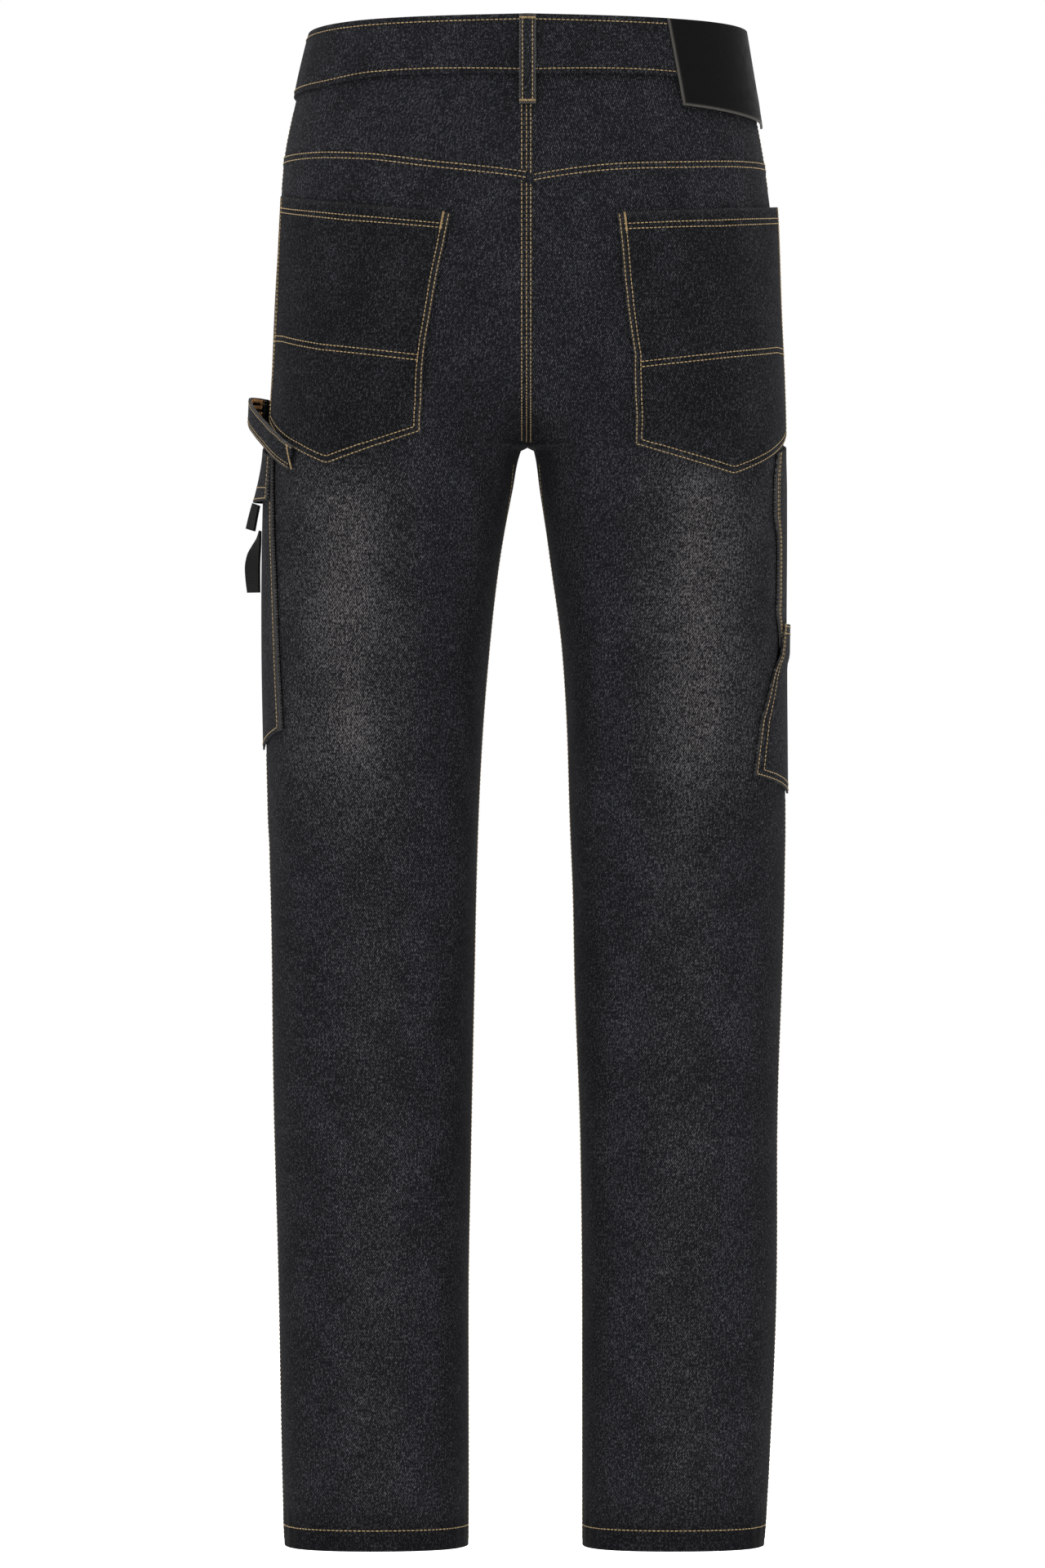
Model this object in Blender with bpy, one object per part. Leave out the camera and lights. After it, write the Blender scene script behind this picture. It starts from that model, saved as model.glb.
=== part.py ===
"""Work jeans with a hammer loop and side pockets, filled out as they hang from a waist.

The wearer's back faces -Y, the wearer's right is +X and the waist opening is up.
The origin is the middle of the waist opening. All sizes are in metres.

Every piece of cloth lies on one outer surface, which is worked out from the table
LEVELS. A place on it is given by its side, by how far round it is (0 at the centre
back or inseam, 0.5 at the side, 1 at the centre front or inseam) and by its height.
"""

import math
from collections import namedtuple

import bmesh
import bpy
import numpy as np

LEFT = -1
RIGHT = 1

# The cloth and its making up.
CLOTH = 0.0014
SEAM_GAP = 0.0003
SEAM_EDGE = 0.0004
WEBBING = 0.0018
FELL_HEIGHT = 0.0007
HEM_DEPTH = 0.0155
HEM_BOTTOM = -1.1130

# The cut.
CROTCH = -0.309
SEAT_CURVE_TOP = -0.200
SECTION_SQUARENESS = 0.03
BAND_WALL = 0.0018
BAND_LAP = 0.010
BUTTON_RADIUS = 0.0085
BUTTON_HEIGHT = 0.0030
LOOP_WIDTH = 0.012
LOOP_DROP = 0.066
FRONT_POCKET_WIDTH = 0.20
FRONT_POCKET_DEPTH = 0.072
FLY_LENGTH = 0.150
FLY_WIDTH = 0.036
PATCH_WALL = 0.0014

# How far each layer stands off the panels. Its flat faces cut the corners of their curves.
ON_PANEL = SEAM_GAP + 0.0005
ON_BAND = ON_PANEL + BAND_WALL + SEAM_GAP + 0.0003
ON_POCKET = ON_PANEL + CLOTH + SEAM_GAP + 0.0002
UNDER_PANEL = SEAM_GAP + 0.0007

# The outline at each height: the side, the inseam, and the back and front of the section.
Level = namedtuple("Level", "height left_out right_out left_in right_in back front")
LEVELS = (
    Level(0.000, 0.1575, 0.1562, 0.0, 0.0, -0.108, 0.106),
    Level(-0.050, 0.1690, 0.1645, 0.0, 0.0, -0.119, 0.114),
    Level(-0.100, 0.1785, 0.1735, 0.0, 0.0, -0.131, 0.119),
    Level(-0.150, 0.1820, 0.1795, 0.0, 0.0, -0.141, 0.120),
    Level(-0.215, 0.1860, 0.1835, 0.0, 0.0, -0.147, 0.117),
    Level(-0.265, 0.1885, 0.1862, 0.0, 0.0, -0.142, 0.109),
    Level(-0.309, 0.1905, 0.1875, 0.00015, 0.00015, -0.129, 0.101),
    Level(-0.311, 0.1906, 0.1875, 0.0045, 0.0045, -0.1285, 0.1005),
    Level(-0.340, 0.1918, 0.1882, 0.0108, 0.0090, -0.120, 0.097),
    Level(-0.400, 0.1922, 0.1886, 0.0216, 0.0180, -0.108, 0.092),
    Level(-0.460, 0.1922, 0.1886, 0.0282, 0.0258, -0.099, 0.089),
    Level(-0.520, 0.1920, 0.1888, 0.0330, 0.0294, -0.090, 0.086),
    Level(-0.580, 0.1914, 0.1888, 0.0360, 0.0312, -0.082, 0.083),
    Level(-0.640, 0.1890, 0.1882, 0.0378, 0.0336, -0.074, 0.078),
    Level(-0.700, 0.1872, 0.1872, 0.0390, 0.0348, -0.070, 0.074),
    Level(-0.820, 0.1852, 0.1836, 0.0414, 0.0390, -0.071, 0.067),
    Level(-0.940, 0.1824, 0.1818, 0.0432, 0.0402, -0.074, 0.062),
    Level(-1.060, 0.1800, 0.1776, 0.0430, 0.0402, -0.076, 0.058),
    Level(-1.113, 0.1782, 0.1740, 0.0432, 0.0402, -0.076, 0.057),
)

# The edges that run round the body, from the centre back to the centre front.
Edge = namedtuple("Edge", "round waist band_foot yoke_left yoke_right")
EDGES = (
    Edge(0.00, 0.0010, -0.0440, -0.1145, -0.1172),
    Edge(0.15, -0.0003, -0.0430, -0.1058, -0.1076),
    Edge(0.25, -0.0014, -0.0444, -0.0990, -0.1052),
    Edge(0.35, -0.0030, -0.0492, -0.0963, -0.1028),
    Edge(0.50, -0.0060, -0.0520, -0.0958, -0.1010),
    Edge(0.75, -0.0150, -0.0600, -0.0990, -0.1030),
    Edge(1.00, -0.0220, -0.0670, -0.1050, -0.1080),
)

# A patch pocket or flap: its corners as distances behind the side line and heights,
# and how far its mouth and its foot stand off the leg at the side line.
Patch = namedtuple("Patch", "inner_top outer_top inner_foot tip outer_foot mouth foot")
BACK_POCKET_LEFT = Patch(
    (0.1973, -0.1451), (0.0290, -0.1264), (0.1843, -0.3019),
    (0.1182, -0.3249), (0.0394, -0.2909), 0.0006, 0.0,
)
BACK_POCKET_RIGHT = Patch(
    (0.1868, -0.1451), (0.0120, -0.1339), (0.1875, -0.3109),
    (0.1110, -0.3321), (0.0170, -0.3010), 0.0040, 0.0,
)
CARGO_POCKET = Patch(
    (0.0570, -0.3180), (-0.0520, -0.3120), (0.0630, -0.5158),
    (0.0040, -0.5305), (-0.0560, -0.5158), 0.0, 0.0003,
)
CARGO_FLAP = Patch(
    (0.0540, -0.3168), (-0.0500, -0.3040), (0.0535, -0.3487),
    (0.0020, -0.3492), (-0.0500, -0.3487), 0.0, 0.0056,
)
RULER_POCKET = Patch(
    (0.0535, -0.3145), (-0.0560, -0.3030), (0.0500, -0.4560),
    (0.0020, -0.4560), (-0.0560, -0.4560), 0.0, 0.0,
)
TOOL_POCKET = Patch(
    (0.0377, -0.4386), (-0.0400, -0.4386), (0.0764, -0.5489),
    (0.0100, -0.5625), (-0.0600, -0.5489), 0.0008, 0.0,
)

# Straps at the left side line, as rows of places: how far each stands off the leg, and
# how far its back edge leans towards the leg there. The hammer loop, the black tab under
# the flap and the black strap below it.
Strap = namedtuple("Strap", "behind height off lean")
HAMMER_LOOP = (
    Strap(0.0890, -0.3190, 0.0028, 0.0),
    Strap(0.0700, -0.3108, 0.0036, 0.0),
    Strap(0.0500, -0.3022, 0.0052, 0.0),
    Strap(0.0300, -0.2940, 0.0092, 0.0),
    Strap(0.0120, -0.2868, 0.0132, 0.0),
    Strap(-0.0010, -0.2828, 0.0142, 0.0),
    Strap(-0.0110, -0.2815, 0.0120, 0.0),
    Strap(-0.0180, -0.2815, 0.0070, 0.0),
    Strap(-0.0230, -0.2818, 0.0022, 0.0),
    Strap(-0.0330, -0.2824, 0.0006, 0.0),
)
HAMMER_LOOP_WIDTH = 0.018
FLAP_TAB = (
    Strap(-0.0010, -0.3508, 0.0062, 0.30),
    Strap(-0.0010, -0.3560, 0.0074, 0.33),
    Strap(-0.0010, -0.3630, 0.0088, 0.36),
    Strap(-0.0010, -0.3695, 0.0100, 0.38),
)
FLAP_TAB_WIDTH = 0.018
SIDE_STRAP = (
    Strap(-0.0010, -0.3700, 0.0029, 0.05),
    Strap(-0.0010, -0.3760, 0.0037, 0.12),
    Strap(-0.0010, -0.3830, 0.0056, 0.24),
    Strap(-0.0010, -0.3900, 0.0074, 0.42),
    Strap(-0.0010, -0.3975, 0.0080, 0.48),
    Strap(-0.0010, -0.4070, 0.0076, 0.44),
    Strap(-0.0010, -0.4150, 0.0070, 0.38),
)
SIDE_STRAP_WIDTH = 0.020

Finish = namedtuple("Finish", "red green blue roughness metallic")
FINISHES = {
    "denim": Finish(0.022, 0.023, 0.028, 0.90, 0.0),
    "leather": Finish(0.006, 0.006, 0.007, 0.55, 0.0),
    "webbing": Finish(0.008, 0.008, 0.009, 0.75, 0.0),
    "brass": Finish(0.36, 0.22, 0.09, 0.35, 1.0),
}


def column(table, name):
    """One named column of a table, as an array."""
    return np.array([getattr(row, name) for row in table])


def eased(places, values, wanted):
    """A smooth line through the table's points, which doesn't pass beyond them."""
    order = np.argsort(places)
    x = places[order]
    y = values[order]
    step = np.diff(x)
    slope = np.diff(y) / step
    before = slope[:-1]
    after = slope[1:]
    same_way = before * after > 0
    total = np.where(same_way, before + after, 1.0)
    inner = np.where(same_way, 2 * before * after / total, 0.0)
    tangent = np.concatenate([slope[:1], inner, slope[-1:]])
    at = np.clip(wanted, x[0], x[-1])
    i = np.clip(np.searchsorted(x, at, side="right") - 1, 0, len(x) - 2)
    t = (at - x[i]) / step[i]
    from_left = (2 * t**3 - 3 * t**2 + 1) * y[i] + (t**3 - 2 * t**2 + t) * step[i] * tangent[i]
    from_right = (3 * t**2 - 2 * t**3) * y[i + 1] + (t**3 - t**2) * step[i] * tangent[i + 1]
    return from_left + from_right


def level(name, height):
    """The outline's measure of this name at a height."""
    return eased(column(LEVELS, "height"), column(LEVELS, name), np.asarray(height, float))


def edge(name, round_body):
    """The height of the edge of this name, at a place round the body."""
    return eased(column(EDGES, "round"), column(EDGES, name), np.asarray(round_body, float))


def rounded(angle):
    """The sine and cosine of a slightly squared circle."""
    q = SECTION_SQUARENESS
    across = (np.sin(angle) + q * np.sin(3 * angle)) / (1 - q)
    along = (np.cos(angle) - q * np.cos(3 * angle)) / (1 - q)
    return across, along


def surface(side, round_body, height):
    """Points of the cloth's outer surface. Above the crotch each half is open at x = 0."""
    around, height = np.broadcast_arrays(np.asarray(round_body, float), np.asarray(height, float))
    name = "right" if side == RIGHT else "left"
    out = level(name + "_out", height)
    back = level("back", height)
    front = level("front", height)
    middle = (back + front) / 2
    deep = (front - back) / 2
    half = np.minimum(around, 1 - around)
    angle = math.pi / 2 * (2 * half) ** 1.25
    angle = np.where(around > 0.5, math.pi - angle, angle)
    across, along = rounded(angle)
    trunk = np.stack([SEAM_GAP / 2 + (out - SEAM_GAP / 2) * across, middle - deep * along], -1)
    inseam = np.where(height >= CROTCH, SEAM_GAP / 2, level(name + "_in", height))
    across, along = rounded(2 * math.pi * around)
    leg = np.stack([(out + inseam) / 2 - (out - inseam) / 2 * along, middle - deep * across], -1)
    down = np.clip((SEAT_CURVE_TOP - height) / (SEAT_CURVE_TOP - CROTCH), 0, 1)
    at_seam = 1 - np.sqrt(1 - down**2)
    at_side_line = down**2 * (3 - 2 * down)
    from_seam = np.clip(half / 0.22, 0, 1)
    from_seam = from_seam * from_seam * (3 - 2 * from_seam)
    share = (at_seam * (1 - from_seam) + at_side_line * from_seam)[..., None]
    flat = trunk * (1 - share) + leg * share
    return np.stack([side * flat[..., 0], flat[..., 1], height], -1)


def outward(side, round_body, height):
    """Unit vectors that point out of the cloth."""
    around, height = np.broadcast_arrays(np.asarray(round_body, float), np.asarray(height, float))
    step_round = 2e-3
    step_height = 2e-3
    before = np.clip(around - step_round, 0, 1)
    after = np.clip(around + step_round, 0, 1)
    below = surface(side, around, height - step_height)
    above = surface(side, around, height + step_height)
    along = surface(side, after, height) - surface(side, before, height)
    normal = np.cross(along, above - below) * side
    return normal / np.linalg.norm(normal, axis=-1, keepdims=True)


def lifted(side, round_body, height, off):
    """Points moved off the outer surface. Neither half passes the middle above the crotch."""
    points = surface(side, round_body, height)
    points = points + outward(side, round_body, height) * np.asarray(off)[..., None]
    across = side * points[..., 0]
    kept = np.where(points[..., 2] > CROTCH - 0.004, np.maximum(across, SEAM_GAP / 2), across)
    points[..., 0] = side * kept
    return points


def round_at(side, behind, height):
    """How far round a place is, from its distance behind the side line along the cloth."""
    behind, height = np.broadcast_arrays(np.asarray(behind, float), np.asarray(height, float))
    tries = np.linspace(0, 1, 201)
    found = np.empty(behind.shape)
    for place in np.ndindex(behind.shape):
        section = surface(side, tries, height[place])
        pieces = np.linalg.norm(np.diff(section[:, :2], axis=0), axis=1)
        passed = np.concatenate([[0], np.cumsum(pieces)])
        side_line = np.interp(0.5, tries, passed)
        found[place] = np.interp(side_line - behind[place], passed, tries)
    return found


def at_side(side, behind, height, off):
    """Points given by their distance behind the side line."""
    return lifted(side, round_at(side, behind, height), height, off)


def near_centre(across, height, off, at_front):
    """Points near the centre back or the centre front, given by x."""
    across, height, off = np.broadcast_arrays(across, height, off)
    tries = np.linspace(0.5, 1.0, 201) if at_front else np.linspace(0.5, 0.0, 201)
    found = np.empty(across.shape + (3,))
    for place in np.ndindex(across.shape):
        side = RIGHT if across[place] > 0 else LEFT
        section = surface(side, tries, height[place])
        wanted = max(abs(across[place]), SEAM_GAP)
        around = np.interp(-wanted, -np.abs(section[:, 0]), tries)
        found[place] = lifted(side, around, height[place], off[place])
    found[..., 0] = across
    return found


def finish_of(name):
    """The material of this name, made when it is first wanted."""
    known = bpy.data.materials.get(name)
    if known is not None:
        return known
    finish = FINISHES[name]
    material = bpy.data.materials.new(name)
    material.use_nodes = True
    shader = material.node_tree.nodes["Principled BSDF"]
    shader.inputs["Base Color"].default_value = (finish.red, finish.green, finish.blue, 1)
    shader.inputs["Roughness"].default_value = finish.roughness
    shader.inputs["Metallic"].default_value = finish.metallic
    material.diffuse_color = (finish.red, finish.green, finish.blue, 1)
    return material


def solid(name, outer, inner, finish):
    """A closed wall between two grids of points, which have a row for each first index."""
    rows, columns = outer.shape[:2]
    mesh = bmesh.new()
    skins = []
    for grid in (outer, inner):
        skin = [[mesh.verts.new(grid[i, j]) for j in range(columns)] for i in range(rows)]
        skins.append(skin)
    front, back = skins
    for i in range(rows - 1):
        for j in range(columns - 1):
            mesh.faces.new((front[i][j], front[i][j + 1], front[i + 1][j + 1], front[i + 1][j]))
            mesh.faces.new((back[i][j], back[i + 1][j], back[i + 1][j + 1], back[i][j + 1]))
    rim = [(0, j) for j in range(columns)]
    rim += [(i, columns - 1) for i in range(1, rows)]
    rim += [(rows - 1, j) for j in range(columns - 2, -1, -1)]
    rim += [(i, 0) for i in range(rows - 2, 0, -1)]
    for here, there in zip(rim, rim[1:] + rim[:1]):
        a = front[here[0]][here[1]]
        b = front[there[0]][there[1]]
        c = back[there[0]][there[1]]
        d = back[here[0]][here[1]]
        mesh.faces.new((a, d, c, b))
    if mesh.calc_volume(signed=True) < 0:
        bmesh.ops.reverse_faces(mesh, faces=mesh.faces[:])
    data = bpy.data.meshes.new(name)
    for face in mesh.faces:
        face.smooth = True
    mesh.to_mesh(data)
    mesh.free()
    data.materials.append(finish_of(finish))
    made = bpy.data.objects.new(name, data)
    bpy.context.scene.collection.objects.link(made)
    return made


def panel_heights(top, seat_rows):
    """The heights of a panel's rows under a top edge, closest together at the crotch."""
    seat = np.linspace(0, 1, seat_rows)[:, None] * (-0.250 - top) + top
    crotch = np.array([-0.272, -0.288, -0.299, -0.306, -0.3088, -0.3112, -0.325, -0.345])
    leg = np.linspace(-0.375, HEM_BOTTOM + HEM_DEPTH + 0.002, 13)
    hem = np.array([HEM_BOTTOM + HEM_DEPTH, HEM_BOTTOM])
    flat = np.concatenate([crotch, leg, hem])
    return np.concatenate([seat, np.repeat(flat[:, None], top.shape[-1], axis=1)])


def panel_wall(side, around, heights, off):
    """The two grids of a panel's wall: its hem is doubled on the inside."""
    doubled = np.where(heights < HEM_BOTTOM + HEM_DEPTH + 0.001, 2.0, 1.0)
    outer = lifted(side, around, heights, off)
    inner = lifted(side, around, heights, -CLOTH * doubled)
    return outer, inner


def back_panel(name, side):
    """A back leg from the yoke to the hem, with the felled centre back seam raised."""
    around = np.linspace(0, 0.5, 17)
    around[0] = SEAM_EDGE
    around[1] = 0.020
    around[-1] = 0.5 - SEAM_EDGE
    seam = edge("yoke_right" if side == RIGHT else "yoke_left", around)
    heights = panel_heights(seam - SEAM_GAP, 7)
    around = np.repeat(around[None, :], len(heights), axis=0)
    raised = (around < 0.02) & (heights > CROTCH + 0.02)
    outer, inner = panel_wall(side, around, heights, np.where(raised, FELL_HEIGHT, 0.0))
    return solid(name, outer, inner, "denim")


def front_panel(name, side):
    """A front leg from under the waistband to the hem, with its pocket mouth scooped out."""
    share = np.linspace(0, 1, 17)
    top = edge("band_foot", 0.5 + share / 2) + BAND_LAP
    foot = edge("band_foot", 0.5) - FRONT_POCKET_DEPTH
    turn = np.linspace(math.pi / 2, 0, 10)[:, None]
    mouth = foot + (top - foot) * (1 - np.cos(turn))
    below = panel_heights(np.full(top.shape, foot), 5)
    heights = np.concatenate([mouth, below[1:]])
    scooped = np.zeros((len(heights), 1))
    scooped[: len(turn)] = FRONT_POCKET_WIDTH * np.sin(turn)
    first = 0.5 + SEAM_EDGE + scooped
    around = first + (1 - SEAM_EDGE - first) * share
    outer, inner = panel_wall(side, around, heights, np.zeros(heights.shape))
    return solid(name, outer, inner, "denim")


def yoke(name, side):
    """The seat yoke, from under the waistband to the yoke seam."""
    around = np.linspace(SEAM_EDGE, 0.5 - SEAM_EDGE, 17)
    top = edge("band_foot", around) + BAND_LAP
    foot = edge("yoke_right" if side == RIGHT else "yoke_left", around)
    heights = top + np.linspace(0, 1, 5)[:, None] * (foot - top)
    around = np.repeat(around[None, :], len(heights), axis=0)
    outer, inner = panel_wall(side, around, heights, np.zeros(heights.shape))
    return solid(name, outer, inner, "denim")


def front_pocket_facing(name, side):
    """The cloth that shows in the scooped mouth of a front pocket."""
    around = np.linspace(0.5 + SEAM_EDGE, 0.5 + FRONT_POCKET_WIDTH + 0.045, 14)
    top = edge("band_foot", around) + BAND_LAP
    foot = edge("band_foot", 0.5) - FRONT_POCKET_DEPTH - 0.020
    heights = top + np.linspace(0, 1, 7)[:, None] * (foot - top)
    under = -(CLOTH + UNDER_PANEL)
    outer = lifted(side, around[None, :], heights, under)
    inner = lifted(side, around[None, :], heights, under - CLOTH)
    return solid(name, outer, inner, "denim")


def fly_shield(name):
    """The strip behind the fly's opening."""
    across = np.linspace(-0.006, FLY_WIDTH - 0.006, 6)
    top = edge("band_foot", 1.0) + BAND_LAP
    heights = np.linspace(top, top - FLY_LENGTH, 8)[:, None]
    under = -(CLOTH + UNDER_PANEL + 0.0003)
    outer = near_centre(across[None, :], heights, under, True)
    inner = near_centre(across[None, :], heights, under - CLOTH, True)
    return solid(name, outer, inner, "denim")


def waistband(name):
    """The band round the waist. Its left end laps over its right end at the front."""
    quarter = np.linspace(1.0, 0.010, 31)
    lap = np.linspace(0.990, 0.955, 3)
    sides = [RIGHT] * len(quarter) + [LEFT] * len(quarter) + [RIGHT] * len(lap)
    places = list(quarter) + list(quarter[::-1]) + list(lap)
    lift = BAND_WALL + SEAM_GAP
    skins = []
    for wall in (BAND_WALL, 0.0):
        strip = []
        for i, (side, around) in enumerate(zip(sides, places)):
            rise = np.clip((around - 0.90) / 0.07, 0, 1) if side == LEFT else 0.0
            if i >= 2 * len(quarter):
                rise = 1.0
            heights = np.linspace(edge("waist", around), edge("band_foot", around), 5)
            strip.append(lifted(side, around, heights, ON_PANEL + lift * rise + wall))
        skins.append(np.array(strip))
    return solid(name, skins[0], skins[1], "denim")


def patch_grid(patch, rows, columns):
    """A patch's grid of distances behind the side line and heights, and its row shares."""
    share = np.linspace(0, 1, columns)
    middle = columns // 2
    tip_share = (patch.inner_foot[0] - patch.tip[0]) / (patch.inner_foot[0] - patch.outer_foot[0])
    foot_share = np.interp(np.arange(columns), (0, middle, columns - 1), (0, tip_share, 1))
    top_behind = patch.inner_top[0] + (patch.outer_top[0] - patch.inner_top[0]) * foot_share
    top_height = patch.inner_top[1] + (patch.outer_top[1] - patch.inner_top[1]) * foot_share
    foot_behind = patch.inner_foot[0] + (patch.outer_foot[0] - patch.inner_foot[0]) * foot_share
    corners = (patch.inner_foot[1], patch.tip[1], patch.outer_foot[1])
    foot_height = np.interp(share, (0, middle / (columns - 1), 1), corners)
    down = np.linspace(0, 1, rows)[:, None]
    behind = top_behind + (foot_behind - top_behind) * down
    height = top_height + (foot_height - top_height) * down
    return behind, height, down


def patch_pocket(name, side, patch, rows, columns, off, finish="denim"):
    """A pocket or flap of one cloth, on the leg, which stands off it near the side line."""
    behind, height, down = patch_grid(patch, rows, columns)
    stand_off = patch.mouth * (1 - down) ** 2 + patch.foot * down**2
    swell = np.exp(-((behind / 0.045) ** 2))
    lift = off + stand_off * swell
    outer = at_side(side, behind, height, lift + CLOTH)
    inner = at_side(side, behind, height, lift)
    return solid(name, outer, inner, finish)


def tool_pocket(name):
    """The lower tool pocket: its mouth lies over the ruler pocket's foot."""
    behind, height, down = patch_grid(TOOL_POCKET, 9, 11)
    covered = np.clip((height + 0.4700) / 0.0100, 0, 1)
    lift = ON_PANEL + (ON_POCKET - ON_PANEL) * covered
    lift = lift + TOOL_POCKET.mouth * (1 - down) ** 2 * np.exp(-((behind / 0.045) ** 2))
    outer = at_side(RIGHT, behind, height, lift + CLOTH)
    inner = at_side(RIGHT, behind, height, lift)
    return solid(name, outer, inner, "denim")


def waist_patch(name):
    """The leather patch, sewn to the waistband at the right of the back and hanging below it."""
    share = np.linspace(0, 1, 9)[None, :]
    down = np.linspace(0, 1, 6)[:, None]
    behind = 0.1135 + 0.006 * down + (-0.004 - 0.1135 - 0.006 * down) * share
    foot = -0.0655 - 0.0095 * share
    height = -0.0022 - 0.0025 * share + (foot + 0.0022 + 0.0025 * share) * down
    lift = ON_BAND - 0.0009 * np.clip((down - 0.75) / 0.25, 0, 1)
    outer = at_side(RIGHT, behind, height, lift + PATCH_WALL)
    inner = at_side(RIGHT, behind, height, lift)
    return solid(name, outer, inner, "leather")


def strap_of(name, side, strap, width, wall, finish):
    """A strap that follows a row of places."""
    behind = column(strap, "behind")
    height = column(strap, "height")
    off = column(strap, "off")
    middle = at_side(side, behind, height, off)
    out = outward(side, round_at(side, behind, height), height)
    run = np.gradient(middle, axis=0)
    run /= np.linalg.norm(run, axis=1, keepdims=True)
    face = out - run * np.sum(out * run, axis=1, keepdims=True)
    face /= np.linalg.norm(face, axis=1, keepdims=True)
    across = np.cross(run, face)
    across *= np.sign(across[:, 1:2] + across[:, 2:3] * 1e-3)
    across = across + face * column(strap, "lean")[:, None]
    across /= np.linalg.norm(across, axis=1, keepdims=True)
    spread = np.linspace(-0.5, 0.5, 3)[None, :, None] * width
    inner = middle[:, None, :] + across[:, None, :] * spread
    outer = inner + face[:, None, :] * wall
    return solid(name, outer, inner, finish)


def loop_offsets(share):
    """How far a belt loop stands off the panels on its way down."""
    places = np.array([0.0, 0.10, 0.35, 0.62, 0.80, 1.0])
    offs = np.array([ON_BAND, ON_BAND, 0.0040, 0.0036, 0.0020, ON_PANEL + 0.0002])
    return eased(places, offs, share)


def centre_back_loop(name):
    """The belt loop over the centre back seam."""
    share = np.linspace(0, 1, 10)[:, None]
    across = np.linspace(-LOOP_WIDTH / 2, LOOP_WIDTH / 2, 3)[None, :]
    heights = edge("waist", 0.0) - 0.0008 - LOOP_DROP * share
    off = loop_offsets(share) + FELL_HEIGHT * np.clip((share - 0.7) / 0.1, 0, 1)
    outer = near_centre(across, heights, off + WEBBING, False)
    inner = near_centre(across, heights, off, False)
    return solid(name, outer, inner, "denim")


def belt_loop(name, side, behind):
    """A belt loop, its middle this far behind the side line."""
    share = np.linspace(0, 1, 10)[:, None]
    across = np.linspace(-LOOP_WIDTH / 2, LOOP_WIDTH / 2, 3)[None, :]
    around = round_at(side, behind, -0.02)
    heights = edge("waist", around) - 0.0008 - LOOP_DROP * share
    outer = at_side(side, behind + across, heights, loop_offsets(share) + WEBBING)
    inner = at_side(side, behind + across, heights, loop_offsets(share))
    return solid(name, outer, inner, "denim")


def waist_button(name):
    """The button that holds the lapped ends of the waistband."""
    middle = (edge("waist", 1.0) + edge("band_foot", 1.0)) / 2
    centre = near_centre(np.array(0.004), middle, 0.0, True)
    off = ON_PANEL + 2 * (BAND_WALL + SEAM_GAP) + 0.0014
    bpy.ops.mesh.primitive_cylinder_add(
        vertices=24,
        radius=BUTTON_RADIUS,
        depth=BUTTON_HEIGHT,
        location=(centre[0], centre[1] + off + BUTTON_HEIGHT / 2, middle),
        rotation=(math.radians(90), 0, 0),
    )
    made = bpy.context.object
    made.name = name
    made.data.name = name
    made.data.materials.append(finish_of("brass"))
    bpy.ops.object.transform_apply(location=True, rotation=True, scale=True)
    return made


def main():
    """Makes every piece."""
    for thing in list(bpy.data.objects):
        bpy.data.objects.remove(thing, do_unlink=True)
    for side, word in ((LEFT, "left"), (RIGHT, "right")):
        back_panel("back_" + word, side)
        front_panel("front_" + word, side)
        yoke("yoke_" + word, side)
        front_pocket_facing("front_pocket_facing_" + word, side)
        belt_loop("belt_loop_side_" + word, side, -0.045)
        belt_loop("belt_loop_front_" + word, side, -0.135)
    waistband("waistband")
    centre_back_loop("belt_loop_centre_back")
    fly_shield("fly_shield")
    waist_button("waist_button")
    waist_patch("waist_patch")
    patch_pocket("back_pocket_left", LEFT, BACK_POCKET_LEFT, 11, 13, ON_PANEL)
    patch_pocket("back_pocket_right", RIGHT, BACK_POCKET_RIGHT, 11, 13, ON_PANEL)
    patch_pocket("cargo_pocket", LEFT, CARGO_POCKET, 10, 11, ON_PANEL)
    patch_pocket("cargo_flap", LEFT, CARGO_FLAP, 5, 11, ON_POCKET)
    patch_pocket("ruler_pocket", RIGHT, RULER_POCKET, 8, 11, ON_PANEL)
    tool_pocket("tool_pocket")
    strap_of("hammer_loop", LEFT, HAMMER_LOOP, HAMMER_LOOP_WIDTH, CLOTH * 1.4, "denim")
    strap_of("flap_tab", LEFT, FLAP_TAB, FLAP_TAB_WIDTH, WEBBING, "webbing")
    strap_of("side_strap", LEFT, SIDE_STRAP, SIDE_STRAP_WIDTH, WEBBING, "webbing")


if __name__ == "__main__":
    main()
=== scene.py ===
"""The looks of the work jeans: cloth, topstitching, leather, webbing and the studio.

Every piece of cloth is a grid shaped on the garment's form, which is worked out from the
same named sizes as the solids. The wearer's back faces -Y and the wearer's right is +X.
"""

from __future__ import annotations

import logging
import math
from collections.abc import Sequence
from dataclasses import dataclass, field
from enum import Enum
from typing import NamedTuple

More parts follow.
